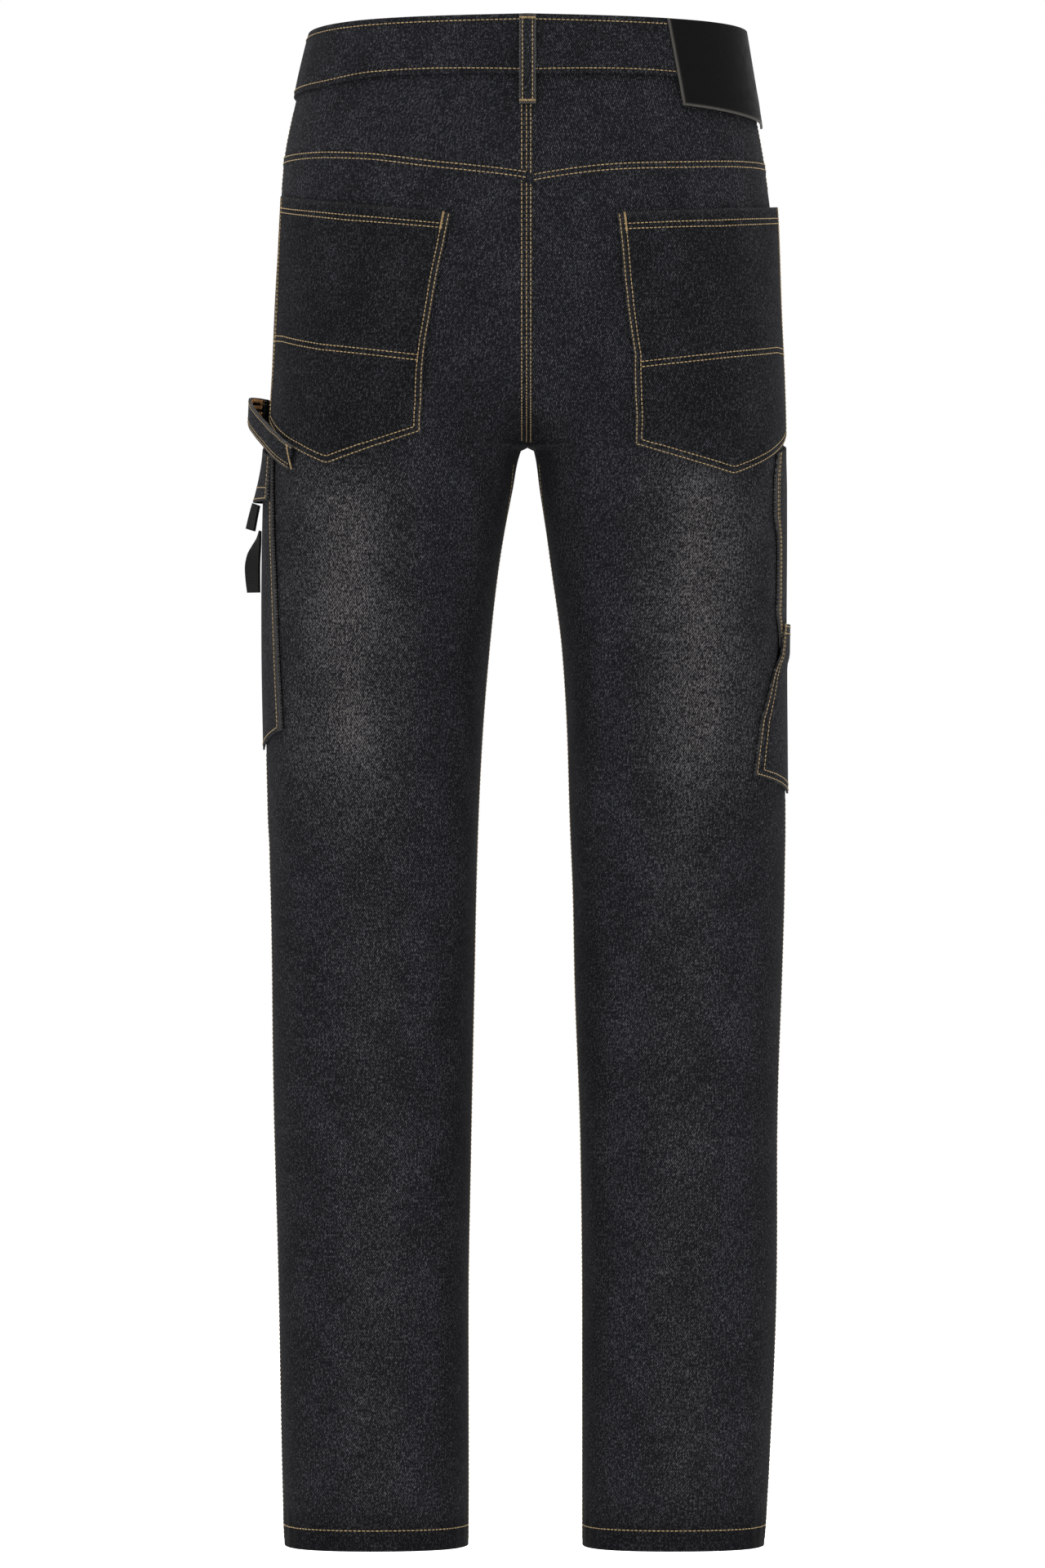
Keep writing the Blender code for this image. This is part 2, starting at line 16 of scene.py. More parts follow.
import bpy
import numpy as np
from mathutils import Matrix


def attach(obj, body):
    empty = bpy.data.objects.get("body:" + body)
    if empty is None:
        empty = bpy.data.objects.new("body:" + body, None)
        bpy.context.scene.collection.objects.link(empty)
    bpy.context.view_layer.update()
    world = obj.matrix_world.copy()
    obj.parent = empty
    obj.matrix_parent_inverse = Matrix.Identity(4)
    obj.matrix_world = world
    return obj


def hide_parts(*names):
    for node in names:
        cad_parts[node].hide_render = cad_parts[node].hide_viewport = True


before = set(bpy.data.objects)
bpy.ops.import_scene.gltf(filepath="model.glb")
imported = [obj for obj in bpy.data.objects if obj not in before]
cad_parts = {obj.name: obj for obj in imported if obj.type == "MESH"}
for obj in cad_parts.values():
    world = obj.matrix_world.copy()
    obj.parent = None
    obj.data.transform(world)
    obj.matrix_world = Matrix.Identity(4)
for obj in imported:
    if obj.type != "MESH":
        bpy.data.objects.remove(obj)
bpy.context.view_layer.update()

LOG = logging.getLogger("work_jeans")
logging.basicConfig(level=logging.INFO, format="%(message)s")

Array = np.ndarray
Arrays = tuple[Array, ...]
Pair = tuple[float, float]
Colour = tuple[float, float, float]
Material = bpy.types.Material
Piece = bpy.types.Object

BODY = "root"
CLOTH_UV = "Cloth"


class Side(Enum):
    """The wearer's left or right."""

    LEFT = -1
    RIGHT = 1

    @property
    def word(self) -> str:
        """The side's name, as the solids spell it."""
        return self.name.lower()


class Hold(Enum):
    """How a sheet of cloth is held."""

    HUNG = "hung"
    STRETCHED = "stretched"


# The garment's form


class Level(NamedTuple):
    """The outline at one height."""

    height: float
    left_out: float
    right_out: float
    left_in: float
    right_in: float
    back: float
    front: float


class Edge(NamedTuple):
    """The heights of the edges that run round the body, at one place round it."""

    round: float
    waist: float
    band_foot: float
    yoke_left: float
    yoke_right: float


LEVELS = (
    Level(0.000, 0.1575, 0.1562, 0.0, 0.0, -0.108, 0.106),
    Level(-0.050, 0.1690, 0.1645, 0.0, 0.0, -0.119, 0.114),
    Level(-0.100, 0.1785, 0.1735, 0.0, 0.0, -0.131, 0.119),
    Level(-0.150, 0.1820, 0.1795, 0.0, 0.0, -0.141, 0.120),
    Level(-0.215, 0.1860, 0.1835, 0.0, 0.0, -0.147, 0.117),
    Level(-0.265, 0.1885, 0.1862, 0.0, 0.0, -0.142, 0.109),
    Level(-0.309, 0.1905, 0.1875, 0.00015, 0.00015, -0.129, 0.101),
    Level(-0.311, 0.1906, 0.1875, 0.0045, 0.0045, -0.1285, 0.1005),
    Level(-0.340, 0.1918, 0.1882, 0.0108, 0.0090, -0.120, 0.097),
    Level(-0.400, 0.1922, 0.1886, 0.0216, 0.0180, -0.108, 0.092),
    Level(-0.460, 0.1922, 0.1886, 0.0282, 0.0258, -0.099, 0.089),
    Level(-0.520, 0.1920, 0.1888, 0.0330, 0.0294, -0.090, 0.086),
    Level(-0.580, 0.1914, 0.1888, 0.0360, 0.0312, -0.082, 0.083),
    Level(-0.640, 0.1890, 0.1882, 0.0378, 0.0336, -0.074, 0.078),
    Level(-0.700, 0.1872, 0.1872, 0.0390, 0.0348, -0.070, 0.074),
    Level(-0.820, 0.1852, 0.1836, 0.0414, 0.0390, -0.071, 0.067),
    Level(-0.940, 0.1824, 0.1818, 0.0432, 0.0402, -0.074, 0.062),
    Level(-1.060, 0.1800, 0.1776, 0.0430, 0.0402, -0.076, 0.058),
    Level(-1.113, 0.1782, 0.1740, 0.0432, 0.0402, -0.076, 0.057),
)

EDGES = (
    Edge(0.00, 0.0010, -0.0440, -0.1145, -0.1172),
    Edge(0.15, -0.0003, -0.0430, -0.1058, -0.1076),
    Edge(0.25, -0.0014, -0.0444, -0.0990, -0.1052),
    Edge(0.35, -0.0030, -0.0492, -0.0963, -0.1028),
    Edge(0.50, -0.0060, -0.0520, -0.0958, -0.1010),
    Edge(0.75, -0.0150, -0.0600, -0.0990, -0.1030),
    Edge(1.00, -0.0220, -0.0670, -0.1050, -0.1080),
)


def column(table: Sequence[NamedTuple], name: str) -> Array:
    """One named column of a table.

    Args:
        table: The rows.
        name: The column's name.

    Returns:
        The column's values, one for each row.
    """
    return np.array([getattr(row, name) for row in table])


def eased(places: Array, values: Array, wanted: Array) -> Array:
    """A smooth line through a table's points, which doesn't pass beyond them.

    Args:
        places: Where the table's points are.
        values: The table's values there.
        wanted: The places to read.

    Returns:
        The value at each wanted place.
    """
    order = np.argsort(places)
    x, y = places[order], values[order]
    step = np.diff(x)
    slope = np.diff(y) / step
    before, after = slope[:-1], slope[1:]
    same_way = before * after > 0
    total = np.where(same_way, before + after, 1.0)
    inner = np.where(same_way, 2 * before * after / total, 0.0)
    tangent = np.concatenate([slope[:1], inner, slope[-1:]])
    at = np.clip(wanted, x[0], x[-1])
    i = np.clip(np.searchsorted(x, at, side="right") - 1, 0, len(x) - 2)
    t = (at - x[i]) / step[i]
    left = (2 * t**3 - 3 * t**2 + 1) * y[i] + (t**3 - 2 * t**2 + t) * step[i] * tangent[i]
    right = (3 * t**2 - 2 * t**3) * y[i + 1] + (t**3 - t**2) * step[i] * tangent[i + 1]
    return left + right


def soft_step(value: Array, low: float, high: float) -> Array:
    """A smooth rise from 0 at low to 1 at high."""
    t = np.clip((np.asarray(value, float) - low) / (high - low), 0, 1)
    return t * t * (3 - 2 * t)


def bell(value: Array, width: float) -> Array:
    """A smooth bump, 1 at 0 and almost 0 at twice its width."""
    return np.exp(-((np.asarray(value, float) / width) ** 2))


def matched(*values: Array | float) -> Arrays:
    """The values as arrays of one shape."""
    return tuple(np.broadcast_arrays(*(np.asarray(value, float) for value in values)))


def unit(vectors: Array) -> Array:
    """The vectors, each made one long."""
    return vectors / np.linalg.norm(vectors, axis=-1, keepdims=True)


def passed_along(points: Array) -> Array:
    """How far along a line each of its points is."""
    return np.concatenate([[0], np.cumsum(np.linalg.norm(np.diff(points, axis=0), axis=1))])


def read_along(at: Array, passed: Array, points: Array) -> Array:
    """A line's points at these distances along it."""
    return np.stack([np.interp(at, passed, values) for values in points.T], -1)


@dataclass
class Form:
    """The outer surface of the cloth, as the jeans hang filled out from the waist."""

    crotch: float = -0.309
    seat_curve_top: float = -0.200
    squareness: float = 0.03
    seam_gap: float = 0.00002
    foot: float = -1.113
    heights: Array = field(default_factory=lambda: np.linspace(0.003, -1.113, 249))
    arounds: Array = field(default_factory=lambda: np.linspace(0, 1, 241))
    behinds: Array = field(default_factory=lambda: np.linspace(-0.30, 0.30, 301))
    arcs: dict[Side, Array] = field(default_factory=dict)
    turns: dict[Side, Array] = field(default_factory=dict)

    def __post_init__(self) -> None:
        """Measures the girth at each height, once."""
        for side in Side:
            section = self.surface(side, self.arounds[None, :], self.heights[:, None])
            pieces = np.linalg.norm(np.diff(section[..., :2], axis=1), axis=2)
            passed = np.concatenate([np.zeros((len(pieces), 1)), np.cumsum(pieces, 1)], 1)
            self.arcs[side] = passed
            middle = len(self.arounds) // 2
            rows = [
                np.interp(row[middle] - self.behinds, row, self.arounds) for row in passed
            ]
            self.turns[side] = np.array(rows)

    def level(self, name: str, height: Array) -> Array:
        """The outline's measure of this name at a height."""
        return eased(column(LEVELS, "height"), column(LEVELS, name), np.asarray(height, float))

    def edge(self, name: str, around: Array) -> Array:
        """The height of the edge of this name, at a place round the body."""
        return eased(column(EDGES, "round"), column(EDGES, name), np.asarray(around, float))

    def rounded(self, angle: Array) -> Arrays:
        """The sine and cosine of a slightly squared circle.

        Args:
            angle: The angle round it.

        Returns:
            The sine and the cosine.
        """
        q = self.squareness
        across = (np.sin(angle) + q * np.sin(3 * angle)) / (1 - q)
        along = (np.cos(angle) - q * np.cos(3 * angle)) / (1 - q)
        return across, along

    def surface(self, side: Side, around: Array, height: Array) -> Array:
        """Points of the cloth's outer surface.

        Args:
            side: The wearer's left or right.
            around: 0 at the centre back or inseam, 0.5 at the side, 1 at the centre front.
            height: The height.

        Returns:
            The points, with a last axis of three.
        """
        around, height = matched(around, height)
        out = self.level(side.word + "_out", height)
        back, front = self.level("back", height), self.level("front", height)
        middle, deep = (back + front) / 2, (front - back) / 2
        half = np.minimum(around, 1 - around)
        angle = math.pi / 2 * (2 * half) ** 1.25
        angle = np.where(around > 0.5, math.pi - angle, angle)
        across, along = self.rounded(angle)
        gap = self.seam_gap / 2
        trunk = np.stack([gap + (out - gap) * across, middle - deep * along], -1)
        inseam = np.where(height >= self.crotch, gap, self.level(side.word + "_in", height))
        across, along = self.rounded(2 * math.pi * around)
        width = (out - inseam) / 2
        leg = np.stack([(out + inseam) / 2 - width * along, middle - deep * across], -1)
        drop = self.seat_curve_top - self.crotch
        down = np.clip((self.seat_curve_top - height) / drop, 0, 1)
        at_seam = 1 - np.sqrt(1 - down**2)
        at_side_line = down**2 * (3 - 2 * down)
        from_seam = soft_step(half, 0, 0.22)
        share = (at_seam * (1 - from_seam) + at_side_line * from_seam)[..., None]
        flat = trunk * (1 - share) + leg * share
        return np.stack([side.value * flat[..., 0], flat[..., 1], height], -1)

    def outward(self, side: Side, around: Array, height: Array) -> Array:
        """Unit vectors that point out of the cloth.

        Args:
            side: The wearer's left or right.
            around: How far round.
            height: The height.

        Returns:
            The directions, with a last axis of three.
        """
        around, height = matched(around, height)
        step = 2e-3
        before, after = np.clip(around - step, 0, 1), np.clip(around + step, 0, 1)
        below = self.surface(side, around, height - step)
        above = self.surface(side, around, height + step)
        along = self.surface(side, after, height) - self.surface(side, before, height)
        return unit(np.cross(along, above - below) * side.value)

    def lifted(self, side: Side, around: Array, height: Array, off: Array) -> Array:
        """Points moved off the outer surface. Above the crotch no half passes the middle.

        Args:
            side: The wearer's left or right.
            around: How far round.
            height: The height.
            off: How far they are moved.

        Returns:
            The points, with a last axis of three.
        """
        points = self.surface(side, around, height)
        points = points + self.outward(side, around, height) * np.asarray(off)[..., None]
        across = side.value * points[..., 0]
        near = points[..., 2] > self.crotch - 0.004
        kept = np.where(near, np.maximum(across, self.seam_gap / 2), across)
        points[..., 0] = side.value * kept
        return points

    def _read(self, table: Array, rows: Array, columns: Array) -> Array:
        """A value between a table's rows and columns, which are given as fractions.

        Args:
            table: The table.
            rows: Which rows.
            columns: Which columns.

        Returns:
            The values.
        """
        i = np.clip(rows.astype(int), 0, table.shape[0] - 2)
        j = np.clip(columns.astype(int), 0, table.shape[1] - 2)
        s, t = rows - i, columns - j
        upper = table[i, j] * (1 - t) + table[i, j + 1] * t
        lower = table[i + 1, j] * (1 - t) + table[i + 1, j + 1] * t
        return upper * (1 - s) + lower * s

    def _row(self, height: Array) -> Array:
        """Which row of the girth tables a height is at, as a fraction."""
        top, foot = self.heights[0], self.heights[-1]
        return np.clip((height - top) / (foot - top), 0, 1) * (len(self.heights) - 1)

    def behind(self, side: Side, around: Array, height: Array) -> Array:
        """How far a place is behind the side line, along the cloth.

        Args:
            side: The wearer's left or right.
            around: How far round.
            height: The height.

        Returns:
            The distances.
        """
        around, height = matched(around, height)
        rows = self._row(height)
        last = len(self.arounds) - 1
        here = self._read(self.arcs[side], rows, around * last)
        middle = self._read(self.arcs[side], rows, np.full(rows.shape, 0.5 * last))
        return middle - here

    def from_seam(self, side: Side, around: Array, height: Array) -> Array:
        """How far a place is from the centre back seam or the inseam, along the cloth."""
        around, height = matched(around, height)
        return self._read(self.arcs[side], self._row(height), around * (len(self.arounds) - 1))

    def round_at(self, side: Side, behind: Array, height: Array) -> Array:
        """How far round a place is, from its distance behind the side line.

        Args:
            side: The wearer's left or right.
            behind: The distance behind the side line.
            height: The height.

        Returns:
            How far round, from 0 to 1.
        """
        behind, height = matched(behind, height)
        last = len(self.behinds) - 1
        step = self.behinds[1] - self.behinds[0]
        columns = np.clip((behind - self.behinds[0]) / step, 0, last)
        return self._read(self.turns[side], self._row(height), columns)


FORM = Form()


# Materials


@dataclass(frozen=True)
class Wire:
    """A shader socket that Python's own operators work on."""

    tree: bpy.types.NodeTree
    socket: bpy.types.NodeSocket

    def _math(self, operation: str, first: Wire | float, second: Wire | float) -> Wire:
        """One Math node.

        Args:
            operation: What it works out.
            first: The first of the two.
            second: The second of the two.

        Returns:
            The result.
        """
        node = self.tree.nodes.new("ShaderNodeMath")
        node.operation = operation
        for slot, value in zip(node.inputs, (first, second)):
            if isinstance(value, Wire):
                self.tree.links.new(value.socket, slot)
            else:
                slot.default_value = value
        return Wire(self.tree, node.outputs[0])

    def __add__(self, other: Wire | float) -> Wire:
        """The sum."""
        return self._math("ADD", self, other)

    def __radd__(self, other: float) -> Wire:
        """The sum, from the right."""
        return self._math("ADD", other, self)

    def __sub__(self, other: Wire | float) -> Wire:
        """The difference."""
        return self._math("SUBTRACT", self, other)

    def __rsub__(self, other: float) -> Wire:
        """The difference, from the right."""
        return self._math("SUBTRACT", other, self)

    def __mul__(self, other: Wire | float) -> Wire:
        """The product."""
        return self._math("MULTIPLY", self, other)

    def __rmul__(self, other: float) -> Wire:
        """The product, from the right."""
        return self._math("MULTIPLY", other, self)

    def wave(self) -> Wire:
        """A wave from 0 to 1, one for each whole number."""
        return self._math("SINE", self * (2 * math.pi), 0.0) * 0.5 + 0.5

    def clamped(self) -> Wire:
        """The value, held between 0 and 1.

        Returns:
            The held value.
        """
        node = self.tree.nodes.new("ShaderNodeClamp")
        self.tree.links.new(self.socket, node.inputs["Value"])
        return Wire(self.tree, node.outputs[0])


class Paint:
    """A material's node tree, and the ways its nodes are made."""

    def __init__(
        self, name: str, roughness: float, metallic: float = 0.0, gloss: float = 0.05
    ) -> None:
        """Makes the material.

        Args:
            name: The material's name.
            roughness: The roughness all over, where no link replaces it.
            metallic: 1 for bare metal.
            gloss: How strongly a surface that isn't metal mirrors the room.
        """
        self.material = bpy.data.materials.new(name)
        self.material.use_nodes = True
        self.tree = self.material.node_tree
        self.shader = self.tree.nodes["Principled BSDF"]
        self.shader.inputs["Roughness"].default_value = roughness
        self.shader.inputs["Metallic"].default_value = metallic
        self.shader.inputs["Specular IOR Level"].default_value = 0.5 if metallic else gloss

    def node(
        self,
        kind: str,
        settings: dict[str, object] | None = None,
        inputs: dict[str | int, object] | None = None,
    ) -> bpy.types.Node:
        """One node.

        Args:
            kind: The node's type.
            settings: Its own settings, which are set first.
            inputs: The values or wires of its sockets.

        Returns:
            The node.
        """
        made = self.tree.nodes.new(kind)
        for name, value in (settings or {}).items():
            setattr(made, name, value)
        for name, value in (inputs or {}).items():
            if isinstance(value, Wire):
                self.tree.links.new(value.socket, made.inputs[name])
            else:
                made.inputs[name].default_value = value
        return made

    def wire(self, made: bpy.types.Node, output: str | int = 0) -> Wire:
        """A node's output, as a wire."""
        return Wire(self.tree, made.outputs[output])

    def cloth_place(self) -> Wire:
        """The cloth's own coordinates, in metres."""
        return self.wire(self.node("ShaderNodeUVMap", {"uv_map": CLOTH_UV}))

    def object_place(self) -> Wire:
        """The piece's own coordinates."""
        return self.wire(self.node("ShaderNodeTexCoord"), "Object")

    def split(self, place: Wire) -> tuple[Wire, Wire]:
        """The first two coordinates of a place."""
        made = self.node("ShaderNodeSeparateXYZ", None, {0: place})
        return self.wire(made, 0), self.wire(made, 1)

    def attribute(self, name: str) -> Wire:
        """A number that is painted on the piece's points."""
        made = self.node("ShaderNodeAttribute", {"attribute_name": name})
        return self.wire(made, "Fac")

    def noise(self, place: Wire, scale: Colour, detail: float = 2.0, rough: float = 0.5) -> Wire:
        """Noise of its own fineness along each axis.

        Args:
            place: The coordinates.
            scale: Waves to the metre along each axis.
            detail: How many finer layers it has.
            rough: How strong those are.

        Returns:
            Numbers about 0.5.
        """
        scaled = self.node("ShaderNodeVectorMath", {"operation": "MULTIPLY"}, {0: place, 1: scale})
        made = self.node(
            "ShaderNodeTexNoise",
            None,
            {
                "Vector": self.wire(scaled),
                "Scale": 1.0,
                "Detail": detail,
                "Roughness": rough,
            },
        )
        return self.wire(made, "Fac")

    def mixed(self, share: Wire | float, first: Wire | Colour, second: Wire | Colour) -> Wire:
        """A colour between two colours.

        Args:
            share: How much of the second colour shows.
            first: The first of the two.
            second: The second of the two.

        Returns:
            The colour.
        """
        first = first if isinstance(first, Wire) else (*first, 1.0)
        second = second if isinstance(second, Wire) else (*second, 1.0)
        made = self.node("ShaderNodeMix", {"data_type": "RGBA"}, {0: share, 6: first, 7: second})
        return self.wire(made, 2)

    def dimmed(self, colour: Wire, share: Wire) -> Wire:
        """A colour times a number.

        Args:
            colour: The colour.
            share: The number.

        Returns:
            The colour.
        """
        made = self.node(
            "ShaderNodeVectorMath", {"operation": "SCALE"}, {0: colour, "Scale": share}
        )
        return self.wire(made)

    def dress(self, colour: Wire | Colour, roughness: Wire | None = None) -> None:
        """Sets the shader's colour, and its roughness where that varies.

        Args:
            colour: The colour.
            roughness: The roughness, where it varies.
        """
        slot = self.shader.inputs["Base Color"]
        if isinstance(colour, Wire):
            self.tree.links.new(colour.socket, slot)
        else:
            slot.default_value = (*colour, 1.0)
        if roughness is not None:
            self.tree.links.new(roughness.socket, self.shader.inputs["Roughness"])

    def raise_up(self, height: Wire, distance: float, strength: float = 1.0) -> None:
        """Gives the surface a fine relief, this many metres high.

        Args:
            height: The relief, from 0 to 1.
            distance: How high it is.
            strength: How strongly it shows.
        """
        made = self.node(
            "ShaderNodeBump", None, {"Height": height, "Distance": distance, "Strength": strength}
        )
        self.tree.links.new(made.outputs["Normal"], self.shader.inputs["Normal"])

    def sheen(self, weight: float, roughness: float = 0.6) -> None:
        """A soft sheen, the same all over."""
        self.shader.inputs["Sheen Weight"].default_value = weight
        self.shader.inputs["Sheen Roughness"].default_value = roughness


@dataclass(frozen=True)
class DenimFinish:
    """Washed black denim: dark warp, pale weft, a steep right-hand twill and soft slubs."""

    name: str
    warp: Colour = (0.0048, 0.0050, 0.0062)
    weft: Colour = (0.060, 0.061, 0.068)
    faded: Colour = (0.088, 0.080, 0.073)
    worn_edge: Colour = (0.15, 0.14, 0.13)
    twill_pitch: float = 0.00125
    twill_slope: float = math.radians(58)
    weft_share: float = 0.0

    def material(self) -> Material:
        """Builds the material. The pattern follows the cloth's own coordinates, in metres.

        Returns:
            The material.
        """
        paint = Paint(self.name, roughness=0.92)
        place = paint.cloth_place()
        across, along = paint.split(place)
        wander = paint.noise(place, (260, 120, 1), 1.0)
        phase = (
            along * (math.cos(self.twill_slope) / self.twill_pitch)
            - across * (math.sin(self.twill_slope) / self.twill_pitch)
            + wander * 1.1
        )
        twill = phase.wave()
        slub = paint.noise(place, (760, 150, 1), 2.0, 0.6)
        speck = paint.noise(place, (980, 520, 1), 3.0, 0.7)
        cloud = paint.noise(place, (34, 20, 1), 3.0, 0.55)
        fade, wear, shade = (paint.attribute(name) for name in ("fade", "wear", "shade"))
        pale = speck * 5.2 + slub * 2.2 + twill * 0.9 + cloud * 0.5
        pale = (pale - (4.60 - self.weft_share) + fade * 0.24).clamped()
        colour = paint.mixed(pale, self.warp, self.weft)
        colour = paint.mixed((pale * fade * 0.9).clamped(), colour, self.faded)
        edge = (wear * (twill * 0.75 + speck * 0.5)).clamped()
        colour = paint.mixed(edge, colour, self.worn_edge)
        # The shade attribute is painted shade: it darkens the colour. The fades lighten it, and
        # down the calves they are partly a painted highlight.
        tone = (1.0 + cloud * 0.5 - 0.25) * (1.0 - shade * 0.7) * (1.0 + fade * 0.25)
        paint.dress(paint.dimmed(colour, tone))
        paint.raise_up(twill * 0.6 + speck * 0.7 + slub * 0.3, 0.00022, 0.55)
        return paint.material


@dataclass(frozen=True)
class ThreadFinish:
    """Golden topstitching thread, duller in random patches."""

    name: str
    bright: Colour = (0.40, 0.285, 0.135)
    dull: Colour = (0.15, 0.100, 0.046)

    def material(self) -> Material:
        """Builds the material.

        Returns:
            The material.
        """
        paint = Paint(self.name, roughness=0.6)
        place = paint.object_place()
        patchy = paint.noise(place, (380, 380, 380), 2.0)
        twist = paint.noise(place, (4200, 4200, 2600), 1.0)
        share = ((patchy * 1.6 + twist * 0.8) - 0.75).clamped()
        paint.dress(paint.mixed(share, self.dull, self.bright))
        paint.raise_up(twist, 0.0001, 0.5)
        paint.sheen(0.1)
        return paint.material


@dataclass(frozen=True)
class LeatherFinish:
    """Black leather with a fine grain, rubbed a little along its edges."""

    name: str
    dark: Colour = (0.0042, 0.0042, 0.0045)
    pale: Colour = (0.0045, 0.0044, 0.0043)
    raw: Colour = (0.085, 0.078, 0.070)

    def material(self) -> Material:
        """Builds the material.

        Returns:
            The material.
        """
        paint = Paint(self.name, roughness=0.55, gloss=0.015)
        place = paint.cloth_place()
        cells = paint.node(
            "ShaderNodeTexVoronoi",
            {"feature": "DISTANCE_TO_EDGE"},
            {"Vector": place, "Scale": 900.0},
        )
        creases = (paint.wire(cells, "Distance") * 5.0).clamped()
        cloud = paint.noise(place, (120, 120, 1), 4.0, 0.6)
        wear = paint.attribute("wear")
        colour = paint.mixed((cloud * 1.5 - 0.35).clamped(), self.dark, self.pale)
        paint.dress(paint.mixed(wear, colour, self.raw), cloud * 0.3 + 0.38)
        paint.raise_up(creases * 0.7 + cloud, 0.00025, 0.6)
        return paint.material


@dataclass(frozen=True)
class WebbingFinish:
    """Black ribbed webbing."""

    name: str
    dark: Colour = (0.0022, 0.0022, 0.0022)
    pale: Colour = (0.0075, 0.0073, 0.0070)
    rib: float = 0.0011

    def material(self) -> Material:
        """Builds the material.

        Returns:
            The material.
        """
        paint = Paint(self.name, roughness=0.8)
        place = paint.cloth_place()
        across, along = paint.split(place)
        ribs = (across * (1 / self.rib)).wave()
        picks = (along * (1 / self.rib) + across * (0.5 / self.rib)).wave()
        weave = ribs * 0.6 + picks * 0.4
        paint.dress(paint.mixed(weave, self.dark, self.pale))
        paint.raise_up(weave, 0.0003, 0.8)
        return paint.material


@dataclass(frozen=True)
class MetalFinish:
    """Dull antique brass."""

    name: str
    bright: Colour = (0.42, 0.29, 0.15)
    dark: Colour = (0.12, 0.085, 0.05)

    def material(self) -> Material:
        """Builds the material.

        Returns:
            The material.
        """
        paint = Paint(self.name, roughness=0.4, metallic=1.0)
        place = paint.object_place()
        patchy = paint.noise(place, (500, 500, 500), 4.0, 0.6)
        paint.dress(paint.mixed(patchy, self.dark, self.bright), patchy * 0.3 + 0.25)
        paint.raise_up(patchy, 0.0001, 0.4)
        return paint.material


@dataclass
class Wardrobe:
    """Every finish of the jeans."""

    denim: Material = field(init=False)
    reverse: Material = field(init=False)
    thread: Material = field(init=False)
    overlock: Material = field(init=False)
    leather: Material = field(init=False)
    webbing: Material = field(init=False)
    brass: Material = field(init=False)

    @property
    def cloth(self) -> list[Material]:
        """The denim's face and its reverse."""
        return [self.denim, self.reverse]

    def __post_init__(self) -> None:
        """Builds the materials."""
        self.denim = DenimFinish("denim_face").material()
        self.reverse = DenimFinish("denim_reverse", weft_share=0.55).material()
        self.thread = ThreadFinish("thread").material()
        self.overlock = ThreadFinish(
            "overlock_thread", bright=(0.62, 0.33, 0.12), dull=(0.35, 0.16, 0.06)
        ).material()
        self.leather = LeatherFinish("leather").material()
        self.webbing = WebbingFinish("webbing").material()
        self.brass = MetalFinish("antique_brass").material()


# Making pieces


def deselect() -> None:
    """Clears the selection."""
    bpy.ops.object.select_all(action="DESELECT")


def settle(name: str, *materials: Material, smooth: float = 60.0) -> Piece:
    """Names the active object, gives it its materials and smooths it.

    Args:
        name: The piece's name.
        materials: Its materials, in order.
        smooth: Edges sharper than this many degrees stay sharp.

    Returns:
        The piece.
    """
    made = bpy.context.object
    made.name = name
    made.data.name = name
    made.data.materials.clear()
    for material in materials:
        made.data.materials.append(material)
    bpy.ops.object.transform_apply(location=True, rotation=True, scale=True)
    bpy.ops.object.shade_smooth_by_angle(angle=math.radians(smooth))
    return made


@dataclass
class Painted:
    """Numbers painted on a piece of cloth's points: fades (partly a painted highlight), worn edges
    and painted shade.
    """

    fade: Array | float = 0.0
    wear: Array | float = 0.0
    shade: Array | float = 0.0


class Crease(NamedTuple):
    """A soft trough (or, with a negative depth, a ridge) in one leg's cloth.

    It is placed by its distance behind the side line and its height, and runs at an angle
    to the level that grows towards the centre back.
    """

    behind: float
    height: float
    reach: float
    width: float
    turn: float
    depth: float


CREASES = {
    Side.LEFT: (
        Crease(0.205, -0.292, 0.055, 0.010, 24, 0.0022),
        Crease(0.190, -0.330, 0.060, 0.012, 30, 0.0016),
        Crease(0.140, -0.352, 0.070, 0.015, 14, -0.0012),
        Crease(0.150, -0.560, 0.050, 0.012, 12, 0.0012),
        Crease(0.060, -0.610, 0.060, 0.014, -10, 0.0012),
        Crease(0.130, -0.655, 0.060, 0.015, -6, -0.0010),
        Crease(0.090, -0.990, 0.050, 0.013, 9, 0.0008),
        Crease(-0.200, -0.300, 0.060, 0.010, -24, 0.0022),
        Crease(-0.160, -0.345, 0.065, 0.012, -18, 0.0015),
        Crease(-0.110, -0.585, 0.060, 0.014, 10, 0.0012),
    ),
    Side.RIGHT: (
        Crease(0.210, -0.288, 0.055, 0.010, 22, 0.0020),
        Crease(0.185, -0.338, 0.060, 0.013, 32, 0.0018),
        Crease(0.120, -0.372, 0.060, 0.015, 16, -0.0012),
        Crease(0.145, -0.585, 0.055, 0.013, 8, 0.0013),
        Crease(0.080, -0.632, 0.060, 0.015, -12, 0.0010),
        Crease(0.110, -1.010, 0.050, 0.014, -8, 0.0008),
        Crease(-0.195, -0.305, 0.060, 0.010, -26, 0.0021),
        Crease(-0.150, -0.352, 0.065, 0.013, -16, 0.0015),
        Crease(-0.120, -0.600, 0.060, 0.014, 8, 0.0012),
    ),
}


